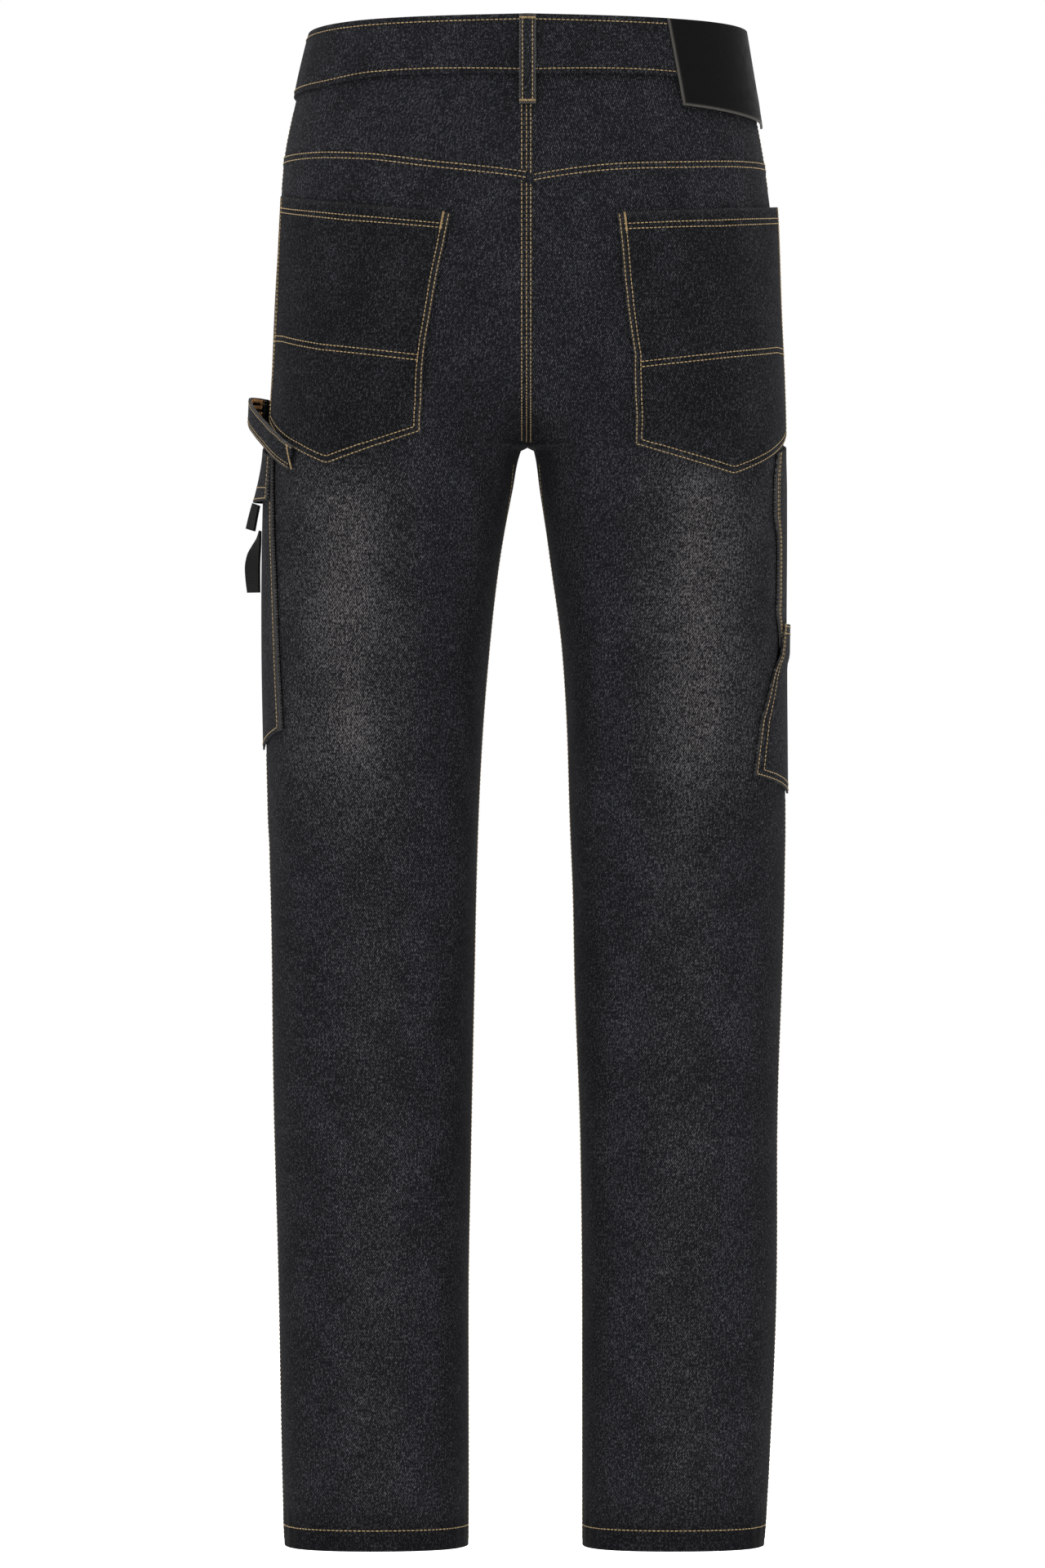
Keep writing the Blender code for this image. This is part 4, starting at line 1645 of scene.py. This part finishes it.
@dataclass
class Straps:
    """The hammer loop, the black tab under the flap and the black strap below it."""

    wardrobe: Wardrobe
    hammer_width: float = 0.018
    tab_width: float = 0.018
    below_width: float = 0.020
    hammer: tuple[Strap, ...] = (
        Strap(0.0890, -0.3190, 0.0028),
        Strap(0.0700, -0.3108, 0.0036),
        Strap(0.0500, -0.3022, 0.0052),
        Strap(0.0300, -0.2940, 0.0092),
        Strap(0.0120, -0.2868, 0.0132),
        Strap(-0.0010, -0.2828, 0.0142),
        Strap(-0.0110, -0.2815, 0.0120),
        Strap(-0.0180, -0.2815, 0.0070),
        Strap(-0.0230, -0.2818, 0.0022),
        Strap(-0.0330, -0.2824, 0.0006),
    )
    tab: tuple[Strap, ...] = (
        Strap(-0.0010, -0.3508, 0.0062, 0.30),
        Strap(-0.0010, -0.3560, 0.0074, 0.33),
        Strap(-0.0010, -0.3630, 0.0088, 0.36),
        Strap(-0.0010, -0.3695, 0.0100, 0.38),
    )
    below: tuple[Strap, ...] = (
        Strap(-0.0010, -0.3700, 0.0029, 0.05),
        Strap(-0.0010, -0.3760, 0.0037, 0.14),
        Strap(-0.0010, -0.3830, 0.0056, 0.34),
        Strap(-0.0010, -0.3900, 0.0074, 0.54),
        Strap(-0.0010, -0.3975, 0.0080, 0.62),
        Strap(-0.0010, -0.4070, 0.0076, 0.57),
        Strap(-0.0010, -0.4150, 0.0070, 0.50),
    )

    def lay(
        self, strap: tuple[Strap, ...], width: float, wall: float, rows: int
    ) -> tuple[Array, Array, Array]:
        """The face of a strap, which follows a row of places.

        Args:
            strap: The places.
            width: The strap's width.
            wall: Its thickness.
            rows: How many rows of points it gets.

        Returns:
            The face's points, its flat coordinates and the direction that it faces.
        """
        share = np.linspace(0, len(strap) - 1, rows)
        at = np.arange(len(strap))
        behind, height, off, lean = (
            eased(at, column(strap, name), share) for name in Strap._fields
        )
        around = FORM.round_at(Side.LEFT, behind, height)
        lift = off + WEAR_AND_SHADE.relief(Side.LEFT, around, height)
        middle = FORM.lifted(Side.LEFT, around, height, lift)
        out = FORM.outward(Side.LEFT, around, height)
        run = unit(np.gradient(middle, axis=0))
        face = unit(out - run * np.sum(out * run, axis=1, keepdims=True))
        across = np.cross(run, face)
        across *= np.sign(across[:, 1:2] + across[:, 2:3] * 1e-3)
        across = unit(across + face * lean[:, None])
        spread = np.linspace(-0.5, 0.5, 9)[None, :, None] * width
        points = middle[:, None, :] + across[:, None, :] * spread + face[:, None, :] * wall
        passed = passed_along(middle)
        place = np.stack(np.broadcast_arrays(spread[..., 0], passed[:, None]), -1)
        return points, place, face[rows // 2]

    def build(self) -> None:
        """Builds the three straps."""
        points, place, face = self.lay(self.hammer, self.hammer_width, LAYERS.hammer, 60)
        edges = np.abs(place[..., 0]) - self.hammer_width / 2
        piece = wall_of(
            "cloth_hammer_loop", points, place, face, Painted(wear=0.35 * bell(edges, 0.001)),
            self.wardrobe.cloth, LAYERS.hammer,
        )
        take_place(
            piece, ["hammer_loop"], points,
        )
        black = [self.wardrobe.webbing]
        for name, strap, width, on in (
            ("flap_tab", self.tab, self.tab_width, "cargo_flap"),
            ("side_strap", self.below, self.below_width, "cargo_pocket"),
        ):
            points, place, face = self.lay(strap, width, LAYERS.webbing, 28)
            piece = wall_of(
                "webbing_" + name, points, place, face, Painted(), black, LAYERS.webbing
            )
            take_place(piece, [name], points)


@dataclass
class LeatherPatch:
    """The leather patch, left bare, sewn to the band and hanging below it."""

    wardrobe: Wardrobe
    wall: float = 0.0014

    def grid(self, share: Array, down: Array) -> Arrays:
        """Distances behind the side line and heights, from the patch's own shares.

        Args:
            share: How far across, from 0 to 1.
            down: 0 at its top, 1 at its foot.

        Returns:
            The distances and the heights.
        """
        behind = 0.1135 + 0.006 * down + (-0.004 - 0.1135 - 0.006 * down) * share
        foot = -0.0655 - 0.0095 * share
        height = -0.0022 - 0.0025 * share + (foot + 0.0022 + 0.0025 * share) * down
        return behind, height

    def build(self) -> None:
        """Builds the patch."""
        share, down = np.meshgrid(np.linspace(0, 1, 58), np.linspace(0, 1, 34))
        behind, height = self.grid(share, down)
        around = FORM.round_at(Side.RIGHT, behind, height)
        lift = LAYERS.on_band - 0.0009 * np.clip((down - 0.75) / 0.25, 0, 1) + self.wall
        lift = lift + 0.0004 * np.sin(share * 9 + 1) * soft_step(down, 0.7, 1.0)
        wear = np.clip(bell(share, 0.009) + bell(1 - down, 0.014), 0, 1) * 0.8
        Cloth(
            "leather_patch", Side.RIGHT, around, height, lift, Painted(wear=wear),
            [self.wardrobe.leather], self.wall,
        ).place("waist_patch", Hold.STRETCHED, "waistband", slot="leather")


# Topstitching


@dataclass
class Row:
    """A row of stitches: places on one half, and how far the cloth there stands off."""

    side: Side
    around: Array
    height: Array
    lift: Array | float

    def path(self) -> Arrays:
        """The row's points and the directions that the cloth faces there.

        Returns:
            The points and the directions.
        """
        around, height = np.broadcast_arrays(self.around, self.height)
        lift = np.asarray(self.lift) + WEAR_AND_SHADE.relief(self.side, around, height)
        points = FORM.lifted(self.side, around, height, lift)
        return points, FORM.outward(self.side, around, height)


@dataclass
class Stitcher:
    """Sews rows of short raised stitches, each piece of stitching one mesh."""

    wardrobe: Wardrobe
    pitch: float = 0.0033
    gap: float = 0.0007
    width: float = 0.00078
    height: float = 0.00062
    template: Arrays = field(init=False)

    def __post_init__(self) -> None:
        """Models the one stitch that is copied: a small capsule along X."""
        deselect()
        bpy.ops.mesh.primitive_uv_sphere_add(
            segments=6, ring_count=4, radius=0.5, rotation=(0, math.radians(90), 0)
        )
        made = bpy.context.object
        bpy.ops.object.transform_apply(location=True, rotation=True, scale=True)
        mesh = made.data
        points = np.empty(len(mesh.vertices) * 3)
        mesh.vertices.foreach_get("co", points)
        points = points.reshape(-1, 3)
        points[:, 0] = np.sign(points[:, 0]) * (np.abs(points[:, 0]) * 2) ** 0.6 / 2
        mesh.calc_loop_triangles()
        faces = np.empty(len(mesh.loop_triangles) * 3, int)
        mesh.loop_triangles.foreach_get("vertices", faces)
        self.template = (points, faces.reshape(-1, 3))
        bpy.data.objects.remove(made, do_unlink=True)

    def frames(self, points: Array, normals: Array, pitch: float) -> Arrays:
        """Where each stitch of a row goes.

        Args:
            points: The row's points.
            normals: The directions that the cloth faces there.
            pitch: The distance from stitch to stitch.

        Returns:
            The stitches' middles, directions and faces.
        """
        passed = passed_along(points)
        count = max(1, round(passed[-1] / pitch))
        ends = np.linspace(0, passed[-1], count + 1)
        at, face = (read_along(ends, passed, each) for each in (points, normals))
        face = unit((face[1:] + face[:-1]) / 2)
        return (at[1:] + at[:-1]) / 2, np.diff(at, axis=0), face

    def sew(
        self,
        name: str,
        frames: Sequence[Arrays],
        material: Material | None = None,
        width: float | None = None,
    ) -> Piece:
        """Joins a copy of the stitch at every place into one piece.

        Args:
            name: The piece's name.
            frames: Middles, directions and faces, as from frames().
            material: The thread, where it isn't the topstitching's.
            width: The thread's thickness, where it isn't the topstitching's.

        Returns:
            The piece.
        """
        middle, run, face = (np.concatenate([each[k] for each in frames]) for k in range(3))
        length = np.linalg.norm(run, axis=1, keepdims=True)
        along = run / length
        side = unit(np.cross(face, along))
        up = np.cross(along, side)
        wide = width or self.width
        tall = self.height if width is None else width * 0.9
        shape, faces = self.template
        local = (
            along[:, None, :] * shape[None, :, 0:1] * (length - self.gap)[:, None, :]
            + side[:, None, :] * shape[None, :, 1:2] * wide
            + up[:, None, :] * (shape[None, :, 2:3] * tall + 0.10 * tall)
        )
        points = (middle[:, None, :] + local).reshape(-1, 3)
        joined = (faces[None] + np.arange(len(middle))[:, None, None] * len(shape)).reshape(-1, 3)
        mesh = bpy.data.meshes.new(name)
        mesh.from_pydata(points.tolist(), [], joined.tolist())
        piece = bpy.data.objects.new(name, mesh)
        bpy.context.scene.collection.objects.link(piece)
        mesh.materials.append(material or self.wardrobe.thread)
        mesh.polygons.foreach_set("use_smooth", np.ones(len(mesh.polygons), bool))
        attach(piece, BODY)
        return piece

    def rows(self, name: str, rows: Sequence[Row], pitch: float | None = None) -> None:
        """Sews rows that are given on the cloth.

        Args:
            name: The piece's name.
            rows: Which rows.
            pitch: The distance from stitch to stitch, where it isn't the usual one.
        """
        frames = [self.frames(*row.path(), pitch or self.pitch) for row in rows]
        self.sew(name, frames)
        LOG.info("%s: %d stitches", name, sum(len(each[0]) for each in frames))


def dense(corners: Sequence[Pair], step: float = 0.0015) -> Arrays:
    """A line through corners, with a point at least every step.

    Args:
        corners: The line's corners.
        step: The widest step.

    Returns:
        The line's two coordinates.
    """
    points = np.array(corners, float)
    passed = passed_along(points)
    at = np.linspace(0, passed[-1], max(2, int(passed[-1] / step)))
    return np.interp(at, passed, points[:, 0]), np.interp(at, passed, points[:, 1])


@dataclass
class Topstitching:
    """Every row of golden stitching, and the bar tacks."""

    stitcher: Stitcher
    fine: float = 0.00005
    tack_thread: float = 0.00055
    loop_row: float = 0.0036
    yoke_rows: Pair = (-0.0012, -0.0052)
    inseam_rows: Pair = (0.0022, 0.0062)
    mouth_rows: Pair = (0.0022, 0.0060)
    outline_rows: Pair = (0.0013, 0.0052)
    hem_row: float = 0.0152
    seam_row: float = 0.0016

    def band(self) -> list[Row]:
        """The two rows round the waistband.

        Returns:
            The rows.
        """
        rows = []
        face = LAYERS.on_panel + LAYERS.band_wall + self.fine
        for side in Side:
            around = np.linspace(0.006, 0.998, 700)
            rise = LAYERS.lap * soft_step(around, 0.90, 0.97) if side is Side.LEFT else 0.0
            start = slice(0, None) if side is Side.LEFT else slice(0, 668)
            for name, shift in (("waist", -0.0045), ("band_foot", 0.0036)):
                height = FORM.edge(name, around) + shift
                lift = np.broadcast_to(face + rise, around.shape)
                rows.append(Row(side, around[start], height[start], lift[start]))
        return rows

    def yokes(self) -> list[Row]:
        """The two rows under each yoke's seam.

        Returns:
            The rows.
        """
        rows = []
        for side in Side:
            around = np.linspace(0.004, 0.496, 320)
            for shift in self.yoke_rows:
                height = FORM.edge("yoke_" + side.word, around) + shift
                rows.append(Row(side, around, height, 0.0006 + self.fine))
        return rows

    def centre_back(self) -> list[Arrays]:
        """The rows down the felled centre back seam, which stay level with it.

        Returns:
            The stitches' middles, directions and faces.
        """
        rows = []
        height = np.linspace(-0.046, FORM.crotch + 0.003, 260)
        for across, raised in ((-0.0042, 0.0), (-0.0007, 0.0), (0.0023, LAYERS.fell)):
            off = np.full(260, raised + self.fine)
            points = near_centre(np.full(260, across), height, off, False)
            normals = np.broadcast_to((0.0, -1.0, 0.0), points.shape)
            rows.append(self.stitcher.frames(points, normals, self.stitcher.pitch))
        return rows

    def hems(self) -> list[Row]:
        """The row round each hem.

        Returns:
            The rows.
        """
        rows = []
        for side in Side:
            around = np.linspace(0.001, 0.999, 400)
            height = np.full(400, FORM.foot + self.hem_row)
            rows.append(Row(side, around, height, self.fine))
        return rows

    def inseams(self) -> list[Row]:
        """The two rows down each inseam.

        Returns:
            The rows.
        """
        rows = []
        for side in Side:
            height = np.linspace(-0.322, FORM.foot + 0.004, 500)
            for away in self.inseam_rows:
                half = FORM.behind(side, np.zeros(500), height)
                around = FORM.round_at(side, half - away, height)
                rows.append(Row(side, around, height, self.fine))
        return rows

    def fronts(self) -> list[Row]:
        """Two rows along each front pocket's mouth, and the fly's curved double row.

        Returns:
            The rows.
        """
        rows = []
        foot = float(FORM.edge("band_foot", 0.5)) - Panels.pocket_depth
        for side in Side:
            for inset in self.mouth_rows:
                turn = np.linspace(math.pi / 2, 0.02, 120)
                around = 0.5 + Panels.pocket_width * np.sin(turn)
                top = FORM.edge("band_foot", around) + Panels.band_lap
                height = foot + (top - foot) * (1 - np.cos(turn))
                behind = FORM.behind(side, around, height)
                shown = height < FORM.edge("band_foot", around) - 0.001
                behind = behind - inset * np.sin(turn) * 0.9
                height = height - inset * np.cos(turn)
                around = FORM.round_at(side, behind, height)
                rows.append(Row(side, around[shown], height[shown], self.fine))
        for inset in (0.0, 0.0042):
            turn = np.linspace(0, math.pi / 2, 40)
            reach, drop = 0.036 - inset, 0.135 - inset
            straight = np.linspace(-0.068, -0.067 - drop + 0.034, 60)
            away = np.concatenate([np.full(60, reach), reach * np.cos(turn)[1:]])
            height = np.concatenate([straight, straight[-1] - 0.034 * np.sin(turn)[1:]])
            half = FORM.behind(Side.LEFT, np.ones(len(height)), height)
            around = FORM.round_at(Side.LEFT, half + np.maximum(away, 0.001), height)
            rows.append(Row(Side.LEFT, around, height, self.fine))
        return rows

    def side_seams(self) -> list[Row]:
        """One row down the back of each side seam, where no pocket covers it.

        Returns:
            The rows.
        """
        rows = []
        for side, start in ((Side.LEFT, -0.5330), (Side.RIGHT, -0.5660)):
            height = np.linspace(start, FORM.foot + 0.004, 320)
            rows.append(Row(side, FORM.round_at(side, self.seam_row, height), height, self.fine))
            upper = np.linspace(-0.062, -0.120, 60)
            rows.append(Row(side, FORM.round_at(side, self.seam_row, upper), upper, self.fine))
        return rows

    def pocket_rows(self, maker: PatchPocket) -> list[Row]:
        """The rows that hold a back pocket: its mouth, its middle and its double outline.

        Args:
            maker: The pocket.

        Returns:
            The rows.
        """
        patch = maker.patch
        left = patch.side is Side.LEFT
        rows = []
        depth = abs(patch.inner_foot[1] - patch.inner_top[1])
        width = abs(patch.inner_top[0] - patch.outer_top[0])

        def along(down: float, start: float, end: float) -> Row:
            """A row across the pocket.

            Args:
                down: 0 at its top, 1 at its foot.
                start: Where it starts, from 0 to 1.
                end: Where it ends, from 0 to 1.

            Returns:
                The row.
            """
            share = np.linspace(start, end, 150)
            sag = 0.006 if left else 0.004
            bowed = down - sag * np.sin(share * math.pi)
            return self.on_pocket(maker, share, bowed)

        for down in (0.052, 0.071) if left else (0.048, 0.070):
            rows.append(along(down, 0.02, 0.99))
        line = (
            ((0.0345, -0.2288), (0.0600, -0.2306), (0.1100, -0.2388), (0.1845, -0.2468))
            if left
            else ((0.0145, -0.2382), (0.0500, -0.2384), (0.1100, -0.2440), (0.1800, -0.2518))
        )
        for shift in (0.0, -0.0038):
            behind, height = dense([(x, z + shift) for x, z in line])
            fraction = (patch.inner_top[1] - height) / depth
            lift = maker.lift(behind, height, fraction) + self.fine
            rows.append(Row(patch.side, FORM.round_at(patch.side, behind, height), height, lift))
        for inset in self.outline_rows:
            side_share, foot_share = inset / width, inset / depth
            down = np.linspace(0.004, 1 - foot_share, 160)
            rows.append(self.on_pocket(maker, np.full(160, side_share), down))
            across = np.linspace(side_share, 1 - side_share, 160)
            rows.append(self.on_pocket(maker, across, np.full(160, 1 - foot_share)))
            outer = np.full(160, 1 - side_share)
            rows.append(self.on_pocket(maker, outer, down[::-1]))
        return rows

    def on_pocket(self, maker: PatchPocket, share: Array, down: Array) -> Row:
        """A row given by a pocket's own shares.

        Args:
            maker: The pocket.
            share: How far across, from 0 to 1.
            down: 0 at its top, 1 at its foot.

        Returns:
            The row.
        """
        behind, height = maker.grid(share, down)
        around = FORM.round_at(maker.patch.side, behind, height)
        return Row(maker.patch.side, around, height, maker.lift(behind, height, down) + self.fine)

    def side_pocket_rows(self, makers: dict[str, PatchPocket]) -> list[Row]:
        """The rows of the cargo pocket, its flap, the ruler pocket and the tool pocket.

        Args:
            makers: The pockets, by name.

        Returns:
            The rows.
        """
        rows = []
        for name, share, start, end in (
            ("cargo_pocket", 0.045, 0.16, 0.985), ("ruler_pocket", 0.045, 0.0, 1.0),
            ("ruler_pocket", 0.075, 0.0, 1.0), ("tool_pocket", 0.016, 0.0, 0.985),
            ("tool_pocket", 0.060, 0.0, 0.955), ("cargo_flap", 0.030, 0.02, 0.97),
        ):
            down = np.linspace(start, end, 140)
            rows.append(self.on_pocket(makers[name], np.full(140, share), down))
            if name != "ruler_pocket":
                far = np.full(140, 1 - share)
                rows.append(self.on_pocket(makers[name], far, down))
        for name, down, inset in (
            ("cargo_pocket", 0.985, 0.045), ("tool_pocket", 0.985, 0.016),
            ("tool_pocket", 0.950, 0.060), ("tool_pocket", 0.016, 0.0), ("tool_pocket", 0.060, 0.0),
            ("cargo_flap", 0.72, 0.03), ("cargo_flap", 0.95, 0.03),
        ):
            share = np.linspace(inset, 1 - inset, 120)
            rows.append(self.on_pocket(makers[name], share, np.full(120, down)))
        return rows

    def tacks(self, makers: dict[str, PatchPocket]) -> None:
        """Bar tacks: short rows of threads sewn close together.

        Args:
            makers: The pockets, by name.
        """
        frames = []

        def tack(row: Row, reach: float = 0.0018) -> None:
            """Sews one tack along a row.

            Args:
                row: The row.
                reach: How wide the tack is.
            """
            points, faces = row.path()
            passed = passed_along(points)
            count = max(4, round(passed[-1] / self.tack_thread))
            at = np.linspace(0, passed[-1], count)
            middle, face = (read_along(at, passed, each) for each in (points, faces))
            face = unit(face)
            along = unit(np.gradient(middle, axis=0))
            lean = np.cross(face, along) + 0.25 * along * (-1) ** np.arange(count)[:, None]
            frames.append((middle + face * 0.0002, lean * (reach + 0.0007), face))

        for name in ("back_pocket_left", "back_pocket_right"):
            down = np.linspace(0.0, 0.078, 20)
            tack(self.on_pocket(makers[name], np.full(20, 0.030), down))
        tool = makers["tool_pocket"]
        tack(self.on_pocket(tool, np.full(20, 0.012), np.linspace(0.0, 0.06, 20)))
        waist = float(FORM.edge("waist", 0.0))
        across = np.linspace(-0.0055, 0.0055, 16)
        loop = LAYERS.webbing + 0.0001
        for drop, off in ((0.0035, LAYERS.on_band + loop), (0.0640, 0.0018 + loop)):
            for half, side in ((across[:8], Side.LEFT), (across[8:], Side.RIGHT)):
                height = np.full(8, waist - LOOP_TOP - drop)
                whole = FORM.behind(side, np.zeros(8), height)
                tack(Row(side, FORM.round_at(side, whole - np.abs(half), height), height, off))
        for side in Side:
            for _, behind in LOOP_PLACES:
                around = float(FORM.round_at(side, behind, -0.02))
                top = float(FORM.edge("waist", around)) - LOOP_TOP
                places = behind + across
                for drop, off in ((0.0035, LAYERS.on_band + loop), (0.0640, 0.0010 + loop)):
                    height = np.full(16, top - drop)
                    tack(Row(side, FORM.round_at(side, places, height), height, off))
        end = dense([(0.0860, -0.3098), (0.0905, -0.3268)])
        tack(Row(Side.LEFT, FORM.round_at(Side.LEFT, *end), end[1], 0.0028 + 0.0021))
        self.stitcher.sew("stitch_bar_tacks", frames, width=self.tack_thread)

    def loops(self) -> list[Arrays]:
        """Two rows down each belt loop.

        Returns:
            The stitches' middles, directions and faces.
        """
        rows = []
        share = np.linspace(0.03, 0.97, 60)
        band = Waistband(self.stitcher.wardrobe)
        off = band.offsets(share) + LAYERS.webbing + self.fine - 0.0001
        over_fell = LAYERS.fell * np.clip((share - 0.7) / 0.1, 0, 1)
        for across in (-self.loop_row, self.loop_row):
            height = float(FORM.edge("waist", 0.0)) - LOOP_TOP - band.loop_drop * share
            side = Side.LEFT if across < 0 else Side.RIGHT
            points = near_centre(np.full(60, across), height, off + over_fell, False)
            whole = FORM.behind(side, np.zeros(60), height)
            around = FORM.round_at(side, whole - self.loop_row, height)
            rows.append((points, FORM.outward(side, around, height)))
        for side in Side:
            for _, behind in LOOP_PLACES:
                around = float(FORM.round_at(side, behind, -0.02))
                height = float(FORM.edge("waist", around)) - LOOP_TOP - band.loop_drop * share
                for across in (-self.loop_row, self.loop_row):
                    places = FORM.round_at(side, behind + across, height)
                    rows.append(Row(side, places, height, off).path())
        return [self.stitcher.frames(*row, self.stitcher.pitch) for row in rows]

    def hammer(self, straps: Straps) -> None:
        """Rows along the hammer loop's edges, and the orange overlock inside it.

        Args:
            straps: The straps.
        """
        points, place, _ = straps.lay(straps.hammer, straps.hammer_width, LAYERS.hammer, 120)
        normal = unit(np.cross(np.gradient(points, axis=0), np.gradient(points, axis=1)))
        behind, height = -place[60, 4, 1], points[60, 4, 2]
        out = FORM.outward(Side.LEFT, FORM.round_at(Side.LEFT, 0.01, height), height)
        if np.dot(normal[60, 4], out) < 0:
            normal = -normal
        frames = []
        for share in (0.7, 6.3, 7.3):
            k = int(share)
            t = share - k
            line = points[:, k] * (1 - t) + points[:, k + 1] * t
            frames.append(self.stitcher.frames(line, normal[:, k], 0.0028))
        self.stitcher.sew("stitch_hammer_loop", frames, width=0.0006)
        coil = []
        for k in (1, 3, 5, 7):
            line = points[50:110, k] - normal[50:110, k] * (LAYERS.hammer + 0.0004)
            middle, way, face = self.stitcher.frames(line, -normal[50:110, k], 0.0012)
            turned = unit(np.cross(face, way)) * 0.0036 + unit(way) * 0.0012
            coil.append((middle, turned, face))
        self.stitcher.sew("stitch_overlock", coil, self.stitcher.wardrobe.overlock, 0.0006)

    def build(self, makers: dict[str, PatchPocket], straps: Straps) -> None:
        """Sews everything.

        Args:
            makers: The pockets, by name.
            straps: The straps.
        """
        sew = self.stitcher.rows
        sew("stitch_waistband", self.band())
        sew("stitch_yokes", self.yokes())
        self.stitcher.sew("stitch_centre_back", self.centre_back())
        sew("stitch_hems", self.hems())
        sew("stitch_inseams", self.inseams())
        sew("stitch_fronts", self.fronts())
        sew("stitch_side_seams", self.side_seams())
        for name in ("back_pocket_left", "back_pocket_right"):
            sew("stitch_" + name, self.pocket_rows(makers[name]), 0.0031)
        sew("stitch_side_pockets", self.side_pocket_rows(makers), 0.0031)
        self.stitcher.sew("stitch_belt_loops", self.loops())
        self.tacks(makers)
        self.hammer(straps)


# The studio


@dataclass
class Studio:
    """A white studio, and the camera straight behind the wearer."""

    floor_height: float = -1.36
    camera_place: tuple[float, float, float] = (-0.0036, -6.4, -0.5555)
    lens: float = 200.0
    world: float = 1.0

    def light(
        self, name: str, place: Sequence[float], aim: Sequence[float], size: float, power: float
    ) -> None:
        """One soft lamp.

        Args:
            name: The lamp's name.
            place: Where it stands.
            aim: What it points at.
            size: Its width and height.
            power: Its power in watts.
        """
        bpy.ops.object.light_add(type="AREA", location=place)
        lamp = bpy.context.object
        lamp.name = name
        way = np.array(aim, float) - np.array(place, float)
        flat = math.hypot(way[0], way[1])
        lamp.rotation_euler = (math.atan2(flat, -way[2]), 0, math.atan2(-way[0], way[1]))
        lamp.data.size = size
        lamp.data.energy = power

    def build(self) -> None:
        """Builds the floor, the lamps, the world and the camera."""
        paint = Paint("studio_floor", roughness=0.9)
        paint.dress((0.96, 0.96, 0.96))
        deselect()
        bpy.ops.mesh.primitive_circle_add(
            vertices=96, radius=14, fill_type="NGON", location=(0, 0, self.floor_height)
        )
        settle("studio_floor", paint.material)
        scene = bpy.context.scene
        scene.view_settings.view_transform = "Standard"
        world = bpy.data.worlds.new("studio")
        world.use_nodes = True
        world.node_tree.nodes["Background"].inputs["Color"].default_value = (1, 1, 1, 1)
        world.node_tree.nodes["Background"].inputs["Strength"].default_value = self.world
        scene.world = world
        self.light("key", (-1.6, -3.4, 1.2), (0, 0, -0.5), 2.2, 26)
        self.light("front", (0.6, 3.6, 1.2), (0, 0, -0.5), 2.4, 20)
        self.light("overhead", (0, 1.0, 6.0), (0, 1.0, -1.0), 9.0, 900)
        bpy.ops.object.camera_add(location=self.camera_place, rotation=(math.radians(90), 0, 0))
        camera = bpy.context.object
        camera.name = "camera"
        camera.data.lens = self.lens
        camera.data.sensor_width = 36
        camera.data.sensor_fit = "AUTO"
        camera.data.clip_end = 60
        scene.camera = camera


def main() -> None:
    """Builds every piece in order and reports it."""
    wardrobe = Wardrobe()
    LOG.info("finishes made")
    Studio().build()
    LOG.info("studio made")
    Panels(wardrobe).build()
    LOG.info("panels made")
    Waistband(wardrobe).build()
    LOG.info("waistband made")
    makers = {patch.name: PatchPocket(patch, wardrobe) for patch in PATCHES}
    for maker in makers.values():
        maker.build()
    LOG.info("pockets made")
    straps = Straps(wardrobe)
    straps.build()
    LeatherPatch(wardrobe).build()
    LOG.info("straps and patch made")
    Topstitching(Stitcher(wardrobe)).build(makers, straps)
    LOG.info("topstitching sewn")


if __name__ == "__main__":
    main()
